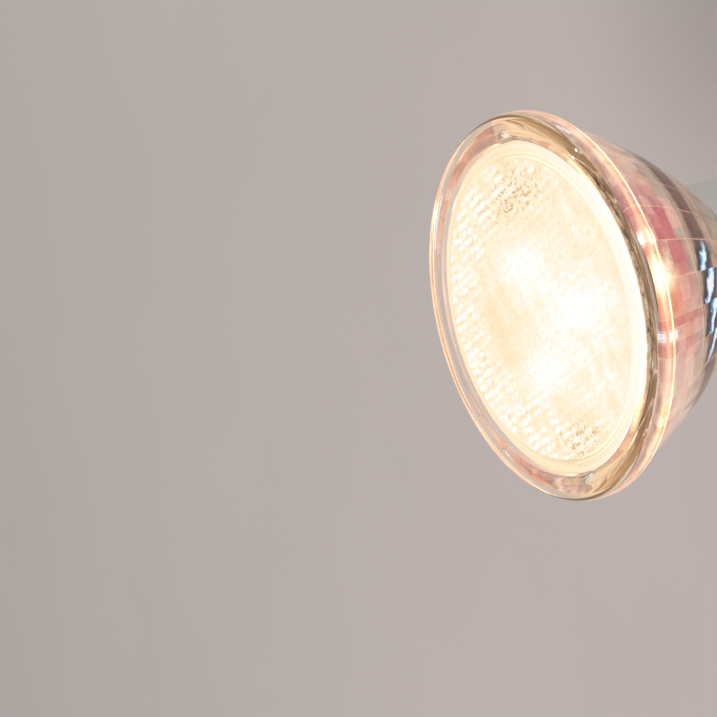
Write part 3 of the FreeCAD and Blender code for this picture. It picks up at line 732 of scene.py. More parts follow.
@dataclass(frozen=True)
class ChipColumn(Finish):
    """Column of equal parts with tinned ends along Z. The first lies half a pitch above the centre."""

    length: float = 1.6 * MM
    pitch: float = 3.0 * MM

    def look(self, graph: Graph, place: Value) -> Feeds:
        """Bodies with tinned ends."""
        offset = place.axis("Z") % self.pitch - self.pitch / 2
        ends = abs(offset) > self.length * 0.32
        cloud = graph.place().noise(0.3 * MM)
        body = cloud.shades(self.colour, 0.3, 0.7, 0.8)
        return self.part_metal(ends, body, (0.8, 0.8, 0.79), 0.45, 0.25) | {"Normal": cloud.bump(0.01 * MM)}


@dataclass(frozen=True)
class RingedResistor(Finish):
    """Lacquered resistor body with colour rings, on bright wire ends."""

    colour: Colour = (0.25, 0.5, 0.58)
    half: float = 2.8 * MM
    body_r: float = 1.17 * MM

    def look(self, graph: Graph, place: Value) -> Feeds:
        """Rings by height, metal outside the body."""
        rise = place.axis("Z")
        stops = [(0.0, self.colour)]
        for low, high, ring in ((0.22, 0.29, shown(120, 70, 30)), (0.4, 0.47, shown(20, 20, 20)),
                                (0.56, 0.63, shown(20, 20, 20)), (0.78, 0.85, shown(190, 160, 70))):
            stops += [(low, ring), (high, self.colour)]
        rings = rise.span(-self.half, self.half).ramp(*stops)
        rings.socket.node.color_ramp.interpolation = "CONSTANT"
        metal = (abs(rise) > self.half).most(place.radius() > self.body_r)
        return self.part_metal(metal, rings, TINNED, 0.32, 0.22) | {
            "Coat Weight": 0.4,
            "Normal": place.noise(0.8 * MM).bump(0.02 * MM),
        }


@dataclass(frozen=True)
class SleevedCan(Finish):
    """Capacitor can in a shrunk dark sleeve with a pale stripe, its scored aluminium top bare."""

    colour: Colour = (0.03, 0.045, 0.1)
    radius: float = 3.0 * MM
    low: float = 0.0
    top: float = 9.0 * MM

    def look(self, graph: Graph, place: Value) -> Feeds:
        """Sleeve on the side, metal on the lid and the legs, a cross scored in the lid."""
        rise = place.axis("Z")
        lid = (place.radius() < self.radius - 0.35 * MM) * (rise > self.top - 0.05 * MM)
        metal = lid.most(rise < self.low - 0.01 * MM)
        score_x, score_y = (abs(place.axis(letter)) < 0.12 * MM for letter in "XY")
        stripe = place.axis("X") < -self.radius * 0.82
        cloud = place.noise(1.5 * MM)
        sleeve = stripe.mix(cloud.shades(self.colour, 0.3, 0.7, 1.0, 1.5), (0.6, 0.6, 0.62))
        return self.part_metal(metal, sleeve, (0.85, 0.85, 0.86), 0.34, 0.28) | {
            "Normal": (cloud - score_x.most(score_y) * lid).bump(0.04 * MM),
        }


class Tone:
    """Colours and soft shares as arrays."""

    @staticmethod
    def of(red: float, green: float, blue: float) -> np.ndarray:
        """A colour given as it shows on a screen."""
        return np.array(shown(red, green, blue))

    @staticmethod
    def blend(first: np.ndarray, second: np.ndarray, part: np.ndarray) -> np.ndarray:
        """Two colours mixed by the second's part, held between 0 and 1."""
        return first + (second - first) * np.clip(part, 0, 1)[..., None]

    @staticmethod
    def fall(along: np.ndarray, across: np.ndarray) -> np.ndarray:
        """A soft spot, exp(-(along squared + across squared)): 1 at its centre."""
        return np.exp(-(along ** 2 + across ** 2))


class Mesh:
    """Puts worked-out arrays into meshes."""

    @staticmethod
    def loop_quads(rows: int, columns: int, wrap_rows: bool) -> np.ndarray:
        """Faces of a grid whose columns close into a ring.

        Vertex (i, j) has the number i * columns + j. Each face joins rows i and i + 1 and columns j
        and j + 1, the last column to the first, and the last row to the first where they wrap.

        Args:
            rows: Number of rows.
            columns: Number of columns.
            wrap_rows: Whether the rows close as well.

        Returns:
            Vertex numbers, four a face.
        """
        i, j = np.indices((rows if wrap_rows else rows - 1, columns))
        below = (i + 1) % rows
        beside = (j + 1) % columns
        corners = (i * columns + j, i * columns + beside, below * columns + beside, below * columns + j)
        return np.stack(corners, axis=-1).reshape(-1, 4)

    @staticmethod
    def piece(name: str, points: np.ndarray, faces: list[np.ndarray], slot: str) -> bpy.types.Object:
        """Makes a mesh object that rides on the bulb.

        Args:
            name: Name of the piece.
            points: Vertex places in metres.
            faces: Arrays of faces, each with one number of corners.
            slot: The record's material slot; not used.

        Returns:
            The object, linked to the scene.
        """
        mesh = bpy.data.meshes.new(name)
        mesh.from_pydata(points.tolist(), [], [face for group in faces for face in group.tolist()])
        mesh.update()
        item = placed(name, mesh)
        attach(item, BODY)
        return item

    @staticmethod
    def attribute(item: bpy.types.Object, name: str, domain: str, values: np.ndarray) -> None:
        """Writes one attribute.

        Args:
            item: The piece.
            name: Name of the attribute.
            domain: POINT or FACE.
            values: One number or one colour for each point or face.
        """
        kind, field = ("FLOAT", "value") if values.ndim == 1 else ("FLOAT_COLOR", "color")
        layer = item.data.attributes.new(name, kind, domain)
        layer.data.foreach_set(field, values.astype(np.float32).ravel())

    @staticmethod
    def finish(item: bpy.types.Object, finishes: tuple[Finish, ...], marks: np.ndarray,
               sharp_deg: float) -> None:
        """Gives a piece its materials, and smooth shading with its sharp edges kept.

        Args:
            item: The piece.
            finishes: Its finishes.
            marks: Number of the finish of each face.
            sharp_deg: Edges that turn more than this angle stay sharp.
        """
        for finish in finishes:
            item.data.materials.append(finish.make())
        item.data.polygons.foreach_set("material_index", marks.astype(np.int32))
        item.data.polygons.foreach_set("use_smooth", np.ones(len(item.data.polygons), bool))
        item.data.set_sharp_from_angle(angle=math.radians(sharp_deg))


class Profile:
    """Half sections, whose points are each a radius and a height, and what is turned from them."""

    @staticmethod
    def bulged(start: tuple, end: tuple, bulge: float, count: int) -> np.ndarray:
        """Points on the arc from start to end that stands out from its chord by the bulge.

        The arc's centre lies on the chord's normal at the distance R - bulge on the inner side, with
        R = (half chord squared + bulge squared) / (2 bulge). It stands out to the right of the way
        from start to end.

        Args:
            start: First point.
            end: Last point.
            bulge: How far the arc's middle stands out.
            count: Number of points, both ends included.

        Returns:
            The points.
        """
        a = np.array(start)
        b = np.array(end)
        half = np.linalg.norm(b - a) / 2
        radius = (half ** 2 + bulge ** 2) / (2 * bulge)
        along = (b - a) / (2 * half)
        out = np.array([along[1], -along[0]])
        centre = (a + b) / 2 - out * (radius - bulge)
        sweep = math.asin(half / radius)
        angles = np.linspace(-sweep, sweep, count)[:, None]
        return centre + radius * (np.cos(angles) * out + np.sin(angles) * along)

    @staticmethod
    def rounded(corner: tuple, into: tuple, out: tuple, radius: float) -> np.ndarray:
        """Three points that round a corner: at the radius each way, and 0.42 of the way to their middle.

        Args:
            corner: The corner.
            into: Direction of length 1 from the corner to where the section comes from.
            out: The same to where it goes.
            radius: How far from the corner the rounding starts.

        Returns:
            The points.
        """
        here = np.array(corner)
        start = here + np.array(into) * radius
        end = here + np.array(out) * radius
        return np.array([start, here + ((start + end) / 2 - here) * 0.42, end])

    @staticmethod
    def turned(section: np.ndarray, azimuths: np.ndarray, centre: tuple = (0.0, 0.0),
               widen: np.ndarray | float = 1.0) -> np.ndarray:
        """Rings of a half section about an upright line: (r w cos a, r w sin a, z) from the centre.

        Args:
            section: Radius r and height z of each point.
            azimuths: Angles a of the ring's points.
            centre: x and y of the line.
            widen: Factor w on the radius, by section point and azimuth.

        Returns:
            The places, ring by ring.
        """
        radius = section[:, :1] * widen
        height = np.repeat(section[:, 1:], len(azimuths), axis=1)
        rings = [centre[0] + radius * np.cos(azimuths), centre[1] + radius * np.sin(azimuths), height]
        return np.stack(rings, axis=-1).reshape(-1, 3)


@dataclass
class GlassReflector:
    """Pressed-glass cup: smooth outside with its rim, rows of flat mirror-coated facets inside.

    The half section runs up the outside, over the rim, down the lens pocket, down the facets and
    down the neck's bore, and closes on itself. Facets are told apart by their row, from the top, and
    by their column, and places on them by how far down and across the facet they lie, from 0 to 1.
    """

    neck_r: float = 9.6 * MM
    bore_r: float = 8.0 * MM
    collar_z: float = 30.4 * MM
    cup_foot_r: float = 11.55 * MM
    rim_h: float = 2.3 * MM
    rim_overhang: float = 0.85 * MM
    rim_face_w: float = 3.5 * MM
    cup_bulge: float = 1.15 * MM
    bevel_w: float = 0.6 * MM
    bevel_h: float = 1.2 * MM
    back_round: float = 0.2 * MM
    edge_round: float = 0.12 * MM
    face_dip: float = 0.12 * MM
    shoulder_z: float = 32.2 * MM
    facet_foot_r: float = 10.2 * MM
    lens_fit: float = 0.15 * MM
    lens_ledge: float = 1.2 * MM
    lens_depth: float = 2.7 * MM
    columns: int = 28
    rows: int = 3
    row_ratio: float = 0.8
    blunt: float = 0.1 * MM
    guard: float = 0.18 * MM
    blocks_down: int = 4
    blocks_across: int = 3
    seed: int = 11
    source_degs: tuple = (270.5, 30.5, 150.5)
    sharp_deg: float = 24.0

    def __post_init__(self) -> None:
        """Reads the neck's end, the rim's radius and the rim's level from the CAD node."""
        low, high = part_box("glass_reflector")
        self.neck_z = low.z
        self.rim_z = high.z
        self.rim_r = high.x
        self.pocket_r = self.rim_r - self.rim_face_w
        self.seat_z = self.rim_z - self.lens_depth
        self.facet_top_r = self.pocket_r - self.lens_fit - self.lens_ledge

    def upright(self, radius: float, start: float, end: float, count: int) -> np.ndarray:
        """Evenly spaced points at one radius, from a start height to an end height."""
        return np.linspace((radius, start), (radius, end), count)

    def outside(self) -> np.ndarray:
        """Half section of the outside: neck, flared cup, rim with its bevel, dished face, pocket."""
        edge = self.edge_round
        back_z = self.rim_z - self.rim_h
        flare_top = (self.rim_r - self.rim_overhang, back_z)
        bevel_z = self.rim_z - self.bevel_h
        bevel_r = (self.bevel_w ** 2 + self.bevel_h ** 2) / (2 * self.bevel_w)
        sweep = np.linspace(0, math.asin(self.bevel_h / bevel_r), 14)
        turn = np.linspace(-math.pi / 2, 0, 9)
        width = np.linspace(0, 1, 13)[1:-1]
        face_r = self.rim_r - self.bevel_w - (self.rim_face_w - self.bevel_w) * width
        curves = [
            (self.rim_r - self.back_round * (1 - np.cos(turn)),
             back_z + self.back_round * (1 + np.sin(turn))),
            (self.rim_r - bevel_r * (1 - np.cos(sweep)), bevel_z + bevel_r * np.sin(sweep)),
            (face_r, self.rim_z - self.face_dip * np.sin(math.pi * width) ** 2),
        ]
        back, bevel, face = [np.stack(curve, axis=1) for curve in curves]
        return np.concatenate([
            Profile.rounded((self.neck_r, self.neck_z), (-1, 0), (0, 1), edge),
            self.upright(self.neck_r, self.neck_z + 2 * edge, self.collar_z - edge, 4),
            Profile.rounded((self.neck_r, self.collar_z), (0, -1), (1, 0), edge),
            Profile.bulged((self.cup_foot_r, self.collar_z), flare_top, self.cup_bulge, 44),
            back,
            self.upright(self.rim_r, back_z + 2 * self.back_round, bevel_z - 0.05 * MM, 3),
            bevel,
            face,
            Profile.rounded((self.pocket_r, self.rim_z), (1, 0), (0, -1), edge),
            self.upright(self.pocket_r, self.rim_z - 2 * edge, self.seat_z, 4),
        ])

    def ring_levels(self) -> np.ndarray:
        """Radius and level of each ring of facet corners, from the seat down to the shoulder.

        Each row is lower than the one above it by the row ratio, and the corners lie on the arc that
        joins the seat's edge to the shoulder's and stands out by the cup's bulge.
        """
        shares = self.row_ratio ** np.arange(self.rows)
        drops = np.concatenate([[0.0], np.cumsum(shares) / shares.sum()])
        levels = self.seat_z - (self.seat_z - self.shoulder_z) * drops
        foot = (self.facet_foot_r, self.shoulder_z)
        arc = Profile.bulged(foot, (self.facet_top_r, self.seat_z), self.cup_bulge, 400)
        return np.stack([np.interp(levels, arc[:, 1], arc[:, 0]), levels], axis=1)

    def facet_section(self) -> tuple[np.ndarray, np.ndarray, np.ndarray]:
        """Half section through the facets' corners, with each ring of corners blunted.

        Returns:
            The points; for each stretch below a point its row of facets, or -1 on a blunted ring;
            and how far down its facet the stretch lies.
        """
        rings = self.ring_levels()
        points = []
        rows = []
        middles = []
        for row in range(self.rows):
            way = rings[row + 1] - rings[row]
            length = np.linalg.norm(way)
            inner = length * np.linspace(0.07, 0.93, 14)
            ends = (length - self.guard, length - self.blunt)
            shares = np.array([self.blunt, self.guard, *inner, *ends]) / length
            points.append(rings[row] + way * shares[:, None])
            rows += [row] * (len(shares) - 1) + [-1]
            middles += [*((shares[1:] + shares[:-1]) / 2), 1.0]
        return np.concatenate(points), np.array(rows[:-1]), np.array(middles[:-1])

    def azimuth_steps(self) -> tuple[np.ndarray, np.ndarray]:
        """Azimuths of the grid's columns: fifteen for each column of facets, with a blunted corner.

        Returns:
            The azimuths, and how far each is across its facet.
        """
        across = np.concatenate([[0.018, 0.032], np.linspace(0.1, 0.9, 11), [0.968, 0.982]])
        facet = np.arange(self.columns)[:, None]
        return ((facet + across) * TURN / self.columns).ravel(), np.tile(across, self.columns)

    def build(self) -> bpy.types.Object:
        """The closed glass shell.

        A point of the grid is (r cos a, r sin a, z). On the facets r is the corner's radius times
        cos(half step) / cos(a - facet's middle), which makes each level ring a regular polygon.
        """
        azimuths, across = self.azimuth_steps()
        outside = self.outside()
        facets, rows, middles = self.facet_section()
        shoulder = (self.bore_r, self.shoulder_z)
        bore_top = self.shoulder_z - 2 * self.edge_round
        section = np.concatenate([
            outside,
            facets,
            Profile.rounded(shoulder, (1, 0), (0, -1), self.edge_round),
            self.upright(self.bore_r, bore_top, self.neck_z + self.edge_round, 5),
        ])
        first = len(outside)
        half_step = math.pi / self.columns
        widen = np.ones((len(section), len(azimuths)))
        widen[first:first + len(facets)] = math.cos(half_step) / np.cos((across - 0.5) * 2 * half_step)
        points = Profile.turned(section, azimuths, widen=widen)
        faces = Mesh.loop_quads(len(section), len(azimuths), True)
        item = Mesh.piece("reflector_shell", points, [faces], "reflector_glass")
        self.dress(item, first, rows, middles, azimuths)
        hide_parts("glass_reflector")
        return item

    def dress(self, item: bpy.types.Object, first: int, rows: np.ndarray, middles: np.ndarray,
              azimuths: np.ndarray) -> None:
        """Gives the shell its glass, and the facets their coat with a colour for each part of them, painted
        reflections, shade, highlights and glow included.

        Args:
            item: The shell.
            first: Grid row where the facets start.
            rows: Row of facets of each stretch of grid rows, or -1.
            middles: How far down its facet each stretch lies.
            azimuths: Azimuths of the grid columns.
        """
        width = len(azimuths)
        stretch = slice(first * width, (first + len(rows)) * width)
        coated = np.zeros(len(item.data.polygons))
        coated[stretch] = 1
        seam = ((np.arange(width) % (width // self.columns) == width // self.columns - 1)
                | (rows < 0)[:, None]).astype(float)[..., None]
        tones = self.facet_colours(rows, middles, azimuths, seam)
        # Painted light in the coat: its colour holds painted reflections, shade and highlights, and its
        # glow is painted lamp light, a little stronger on the seams.
        coat_colour_and_painted_light = np.clip(tones * (1.25 - 0.25 * seam), 0, 0.96)
        for name, bare, look in (("coat_colour_and_painted_light", WHITE, coat_colour_and_painted_light), ("glow", BLACK, tones * (0.46 + 0.12 * seam))):
            layer = np.tile((*bare, 1.0), (len(coated), 1))
            layer[stretch, :3] = look.reshape(-1, 3)
            Mesh.attribute(item, name, "FACE", layer)
        Mesh.finish(item, (ClearGlass(), MirrorCoat()), coated, self.sharp_deg)

    def lots(self, level: np.ndarray, down: np.ndarray, width: int) -> tuple[np.ndarray, ...]:
        """Random lots of the facets and of the blocks within them.

        Args:
            level: Row of facets of each stretch.
            down: How far down its facet each stretch lies.
            width: Number of grid columns.

        Returns:
            Two lots from 0 to 1 for each facet, and one for each block, spread over the faces.
        """
        dice = np.random.default_rng(self.seed)
        per_facet = width // self.columns
        column = np.arange(width) // per_facet
        facet_lots = dice.random((self.rows, self.columns, 2))[level][:, column]
        blocks = dice.random((self.rows, self.blocks_down, self.columns, self.blocks_across))
        block_row = np.clip((down * self.blocks_down).astype(int), 0, self.blocks_down - 1)
        block_column = np.arange(width) % per_facet * self.blocks_across // per_facet
        block = blocks[level[:, None], block_row[:, None], column, block_column]
        return facet_lots[..., 0], facet_lots[..., 1], block

    def facet_colours(self, rows: np.ndarray, middles: np.ndarray, azimuths: np.ndarray,
                      seam: np.ndarray) -> np.ndarray:
        """Colour that each part of the facets shows: the coat's colour, with painted light, reflections and
        shade.

        The first row runs from rose to pale peach three times round the cup, once for each light
        source: the coat's rose, deepened as painted light, most on the -Y side. It fades to pale grey
        near its lower end. On the -Y side the middle row is a dark band of painted shade between pale
        ends. The last row is pale grey. Each facet departs from that by its own lots, and so do the
        blocks within it. Seams are pale with painted highlights, and painted warm spots mark where
        lamp light leaves.

        Args:
            rows: Row of facets of each stretch, or -1 on a blunted ring.
            middles: How far down its facet each stretch lies.
            azimuths: Azimuths of the grid columns.
            seam: 1 on the seams between facets, else 0.

        Returns:
            The colours, by stretch and grid column.
        """
        level = np.maximum.accumulate(rows)
        down = middles[:, None]
        lot, last_lot, block = self.lots(level, middles, len(azimuths))
        across = np.degrees((azimuths + np.roll(azimuths, -1)) / 2)
        across[-1] = np.degrees(azimuths[-1]) + 0.5
        turn = np.radians(across)
        # Painted light: the rose deepens at each light source and, like the dark band below, most on the -Y
        # side.
        near = 0.5 + 0.5 * np.cos(turn - math.radians(270))
        rosy = (0.5 + 0.5 * np.cos(3 * (turn - math.radians(279)))) ** 1.2 * (0.2 + 0.85 * near)
        rosy = rosy * 1.05 + (lot - 0.42) * 0.62 * near + (block - 0.5) * 0.3 * near
        first = Tone.blend(Tone.of(220, 200, 190), Tone.of(192, 112, 120), rosy)
        first = Tone.blend(first, Tone.of(232, 190, 158), (block - 0.66) * 2.4)
        first = Tone.blend(first, Tone.of(240, 216, 198), (0.3 - block) * 1.7)
        first = Tone.blend(first, Tone.of(180, 170, 160), (down - 0.72) * 5 + (block - 0.5) * 1.6)
        # Painted shade: the dark band of the middle row on the -Y side.
        band = near * ((0.5 - np.abs(down - 0.45)) * 9 - 1.6 + (block - 0.5) * 0.5)
        middle = Tone.blend(Tone.of(112, 80, 74), Tone.of(84, 64, 68), block)
        middle = Tone.blend(Tone.of(178, 162, 148), middle, band)
        last = last_lot * 0.7 + (block - 0.5) * 0.5
        last = Tone.blend(Tone.of(186, 172, 160), Tone.of(146, 128, 118), last)
        tones = np.choose(level[:, None, None], (first, middle, last))
        # Painted highlights: the pale seams between the facets.
        pale = Tone.blend(Tone.of(238, 196, 178), Tone.of(204, 162, 146), block + (level > 0)[:, None])
        tones = tones * (1 - seam) + pale * seam
        # Painted light: warm and white spots round each light source, where its light leaves through the
        # coat.
        for azimuth in self.source_degs:
            for turned, down_rows, reach, reach_rows, strength, tone in (
                    (0, 0.1, 5.5, 0.24, 3.6, Tone.of(255, 232, 186)),
                    (27, 0.02, 3.0, 0.06, 2.4, Tone.of(255, 236, 190)),
                    (14, 0.16, 2.2, 0.035, 2.2, Tone.of(255, 255, 255)),
                    (-19, 0.2, 1.6, 0.06, 2.2, Tone.of(255, 255, 255)),
                    (4, 0.02, 30.0, 0.035, 1.3, Tone.of(255, 190, 130)),
                    (-8, 0.28, 7.0, 0.26, 0.9, Tone.of(242, 164, 134))):
                along = ((across - azimuth - turned + 180) % 360 - 180) / reach
                spot = Tone.fall(along, (down + level[:, None] - down_rows) / reach_rows)[..., None]
                tones = tones * (1 - spot) + tone * strength * spot
        return tones


@dataclass(frozen=True)
class Patch:
    """A soft oval patch of light on the lens. Its places and reaches are in millimetres."""

    x: float
    y: float
    length: float
    width: float
    turn_deg: float
    weight: float = 1.0

    def over(self, x: np.ndarray, y: np.ndarray) -> np.ndarray:
        """The patch's share, a soft spot that is longer in the direction it is turned to.

        Args:
            x: Places along X in metres.
            y: Places along Y in metres.

        Returns:
            The share at each place, up to the patch's weight.
        """
        turn = math.radians(self.turn_deg)
        dx = x / MM - self.x
        dy = y / MM - self.y
        along = (dx * math.cos(turn) + dy * math.sin(turn)) / self.length
        across = (-dx * math.sin(turn) + dy * math.cos(turn)) / self.width
        return self.weight * Tone.fall(along, across)


@dataclass
class FrontLens:
    """Moulded lens: raised dimpled field, stepped border, glowing edge, a collimator for each source.

    Places on the field are arrays x and y in metres, one number for each vertex.
    """

    lens_r: float = 21.35 * MM
    edge_t: float = 1.8 * MM
    chamfer: float = 0.2 * MM
    border_r: float = 20.5 * MM
    step_r: float = 19.9 * MM
    field_r: float = 19.3 * MM
    field_rise: float = 0.56 * MM
    border_sink: float = 0.1 * MM
    dimple_row: float = 1.21 * MM
    dimple_turn_deg: float = 16.0
    dimple_rise: float = 0.07 * MM
    grid: int = 256
    ring_points: int = 64
    collimator_degs: tuple = (30, 150, 270)
    collimator_top_r: float = 6.9 * MM
    collimator_foot_r: float = 3.3 * MM
    collimator_circle_r: float = 8.5 * MM
    collimator_bulge: float = 0.55 * MM
    pocket_r: float = 2.4 * MM
    pocket_draft: float = 0.2 * MM
    pocket_dome: float = 0.7 * MM
    pocket_depth: float = 3.6 * MM
    border_round: float = 0.05 * MM
    back_land: float = 1.5 * MM
    fade_w: float = 0.4 * MM
    cloud_size: float = 4.2 * MM
    least_light: float = 0.42
    collimator_light: float = 0.55
    sharp_deg: float = 38.0
    seed: int = 5
    lobes: tuple = (Patch(-8.0, 1.2, 5.6, 3.1, 98), Patch(5.8, 1.2, 5.8, 3.4, 82),
                    Patch(-1.0, -10.4, 6.4, 3.4, 92))
    veils: tuple = (Patch(-1.0, -4.5, 9.5, 8.0, 0), Patch(-10.5, -11.0, 6.0, 5.0, 45, 0.5))
    smooths: tuple = (Patch(-0.5, 8.6, 7.0, 4.2, 0), Patch(11.4, 1.0, 7.0, 1.9, 100, 0.7),
                      Patch(-13.2, -3.0, 6.0, 1.8, 85, 0.7))
    specks: tuple = (Patch(14.6, -1.2, 7.4, 3.2, 98, 1.2), Patch(-17.0, -3.6, 5.4, 2.6, 94, 1.1))
    band_gap: Patch = Patch(1.5, 14.0, 2.0, 3.0, 90)

    def __post_init__(self) -> None:
        """Reads the lens's levels from the CAD node."""
        low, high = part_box("front_lens")
        self.front_z = high.z
        self.back_z = high.z - self.edge_t
        self.foot_z = low.z
        self.field_z = self.front_z + self.field_rise

    def disc_grid(self) -> tuple[np.ndarray, np.ndarray]:
        """A square grid carried onto the field's disc, its squares onto circles.

        A square's point (a, b) with |a| > |b| goes to the radius a at the angle (b / a) times an
        eighth turn; the others to the radius b, at a quarter turn less (a / b) times an eighth.

        Returns:
            x and y of the points, (grid + 1) squared.
        """
        line = np.linspace(-1, 1, self.grid + 1)
        a, b = np.meshgrid(line, line, indexing="ij")
        wide = np.abs(a) > np.abs(b)
        safe_a = np.where(a == 0, 1, a)
        safe_b = np.where(b == 0, 1, b)
        radius = np.where(wide, a, b)
        angle = np.where(wide, math.pi / 4 * b / safe_a, math.pi / 2 - math.pi / 4 * a / safe_b)
        x, y = radius * np.cos(angle) * self.field_r, radius * np.sin(angle) * self.field_r
        return x.ravel(), y.ravel()

    def dimples(self, x: np.ndarray, y: np.ndarray, row: float) -> tuple[np.ndarray, ...]:
        """Where each place lies in a field of dimples set like a honeycomb.

        The centres form two equal grids, 2 rows apart along u and one pitch apart along v, the second
        grid half a step on in both. The pitch is 2 rows / root 3. With d the distance to the nearest
        centre, the height is 1 - (d / 0.58 pitch) squared, not below 0. The lot comes from the
        fraction of a large sine of the centre's numbers.

        Args:
            x: Places along X.
            y: Places along Y.
            row: Distance between rows of dimples.

        Returns:
            The height from 0 to 1, the lot from 0 to 1, and the way from the centre along u and v.
        """
        turn = math.radians(self.dimple_turn_deg)
        pitch = 2 * row / math.sqrt(3)
        u = (x * math.cos(turn) + y * math.sin(turn)) / (2 * row)
        v = (-x * math.sin(turn) + y * math.cos(turn)) / pitch
        even = np.hypot((u - np.round(u)) * 2 * row, (v - np.round(v)) * pitch)
        odd = np.hypot((u - np.floor(u) - 0.5) * 2 * row, (v - np.floor(v) - 0.5) * pitch)
        number_u = np.where(even < odd, np.round(u), np.floor(u) + 0.5)
        number_v = np.where(even < odd, np.round(v), np.floor(v) + 0.5)
        lot = np.abs(np.sin(number_u * 127.1 + number_v * 311.7) * 4375.85) % 1.0
        height = np.clip(1 - (np.minimum(even, odd) / (0.58 * pitch)) ** 2, 0, 1)
        return height, lot, (u - number_u) * 2 * row, (v - number_v) * pitch

    def cloud(self, x: np.ndarray, y: np.ndarray, size: float) -> np.ndarray:
        """Soft clouds: eight sine waves of random direction and length near the size, added up.

        Args:
            x: Places along X.
            y: Places along Y.
            size: Length of the waves in metres.

        Returns:
            Values about 0, mostly between -0.7 and 0.7.
        """
        turn, length, start = np.random.default_rng(self.seed).random((3, 8, 1))
        wave = TURN / (size * (0.7 + 0.6 * length))
        phase = wave * (np.cos(turn * TURN) * x + np.sin(turn * TURN) * y) + start * TURN
        return np.sin(phase).sum(axis=0) / 3.2

    def field_light(self, x: np.ndarray, y: np.ndarray, honeycomb: tuple[np.ndarray, ...]) -> np.ndarray:
        """Light that leaves the field.

        Three long lobes and the outer band on the +Y side are bright, smooth patches lie between them,
        and brown specks gather at both ends of the X axis. Each dimple shows a glint that is longer
        along v, exp(-(du / 0.3)^2 - (dv / 0.66)^2) in millimetres from near its middle, by its lot.

        Args:
            x: Places along X.
            y: Places along Y.
            honeycomb: Height, lot and way from the centre of the dimples.

        Returns:
            The light, 0 for brown shadow to 1 for white.
        """
        lobes, veil, smooth, specks = (
            sum(patch.over(x, y) for patch in patches)
            for patches in (self.lobes, self.veils, self.smooths, self.specks)
        )
        reach = np.hypot(x, y) / MM
        azimuth = np.arctan2(y, x)
        south = -np.sin(azimuth)
        veil = veil + 0.3 * np.clip((reach - 11) / 3, 0, 1) * np.clip(south * 2, 0, 1)
        smooth = smooth + 0.6 * np.clip((reach - 16.5) / 2.0, 0, 1) * np.clip(south * 1.6 - 0.7, 0, 1)
        specks = np.clip(specks, 0, 1)
        side = np.clip(np.cos(azimuth - math.radians(96)) * 1.6 + 0.35, 0, 1)
        band = np.clip((reach - 11.5) / 3.6, 0, 1) * side * (1 - 0.6 * self.band_gap.over(x, y))
        calm = 1 - 0.8 * np.clip(smooth, 0, 1)
        cloud = self.cloud(x, y, self.cloud_size)
        _, lot, way_u, way_v = honeycomb
        shift_u = (lot - 0.5) * 0.44
        shift_v = (lot * 7.13 % 1.0 - 0.5) * 0.8
        glint = Tone.fall((way_u / MM - shift_u) / 0.3, (way_v / MM - shift_v) / 0.66)
        swing = 0.06 + 0.85 * band + 0.18 * lobes + 0.08 * veil + 0.25 * specks
        swing = swing * calm * (0.1 + 1.6 * lot) * (1 + 0.9 * cloud)
        light = 0.54 + 0.38 * np.clip(lobes, 0, 1.1) + 0.22 * veil + 0.14 * band - 0.08 * smooth
        light = light + 0.07 * cloud * (1 - lobes) + swing * (glint - 0.2)
        fine, fine_lot, _, _ = self.dimples(x, y, self.dimple_row / 2)
        walls = np.clip(1 - fine * 1.5, 0, 1)
        light = light - (0.08 + 0.12 * lobes + 0.12 * veil) * walls * calm
        light = light + 0.16 * (fine_lot - 0.5) * calm
        stroke, stroke_lot, _, _ = self.dimples(x * 1.2, y * 0.75, self.dimple_row * 0.26)
        dark = specks * (stroke_lot > 0.5) * np.clip(stroke * 2.6 - 0.9, 0, 1) * (0.4 + stroke_lot)
        return np.clip(np.maximum(light, self.least_light) - 0.36 * dark * (1.1 - glint), 0, 1)

    def build(self) -> bpy.types.Object:
        """The lens as closed surfaces: the plate with its field, and the collimators behind it."""
        points, faces, light, flank = self.plate()
        for azimuth in self.collimator_degs:
            turn = math.radians(azimuth)
            reach = self.collimator_circle_r
            centre = (reach * math.cos(turn), reach * math.sin(turn))
            shell_points, shell_faces = self.collimator(centre)
            faces += [group + len(points) for group in shell_faces]
            points = np.concatenate([points, shell_points])
            light = np.concatenate([light, np.full(len(shell_points), self.collimator_light)])
        item = Mesh.piece("lens_moulding", points, faces, "lens_plastic")
        Mesh.attribute(item, "light", "POINT", light)
        marks = np.zeros(len(item.data.polygons))
        marks[:len(flank)] = flank
        Mesh.finish(item, (LitLens(), LensFlank()), marks, self.sharp_deg)
        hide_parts("front_lens")
        return item

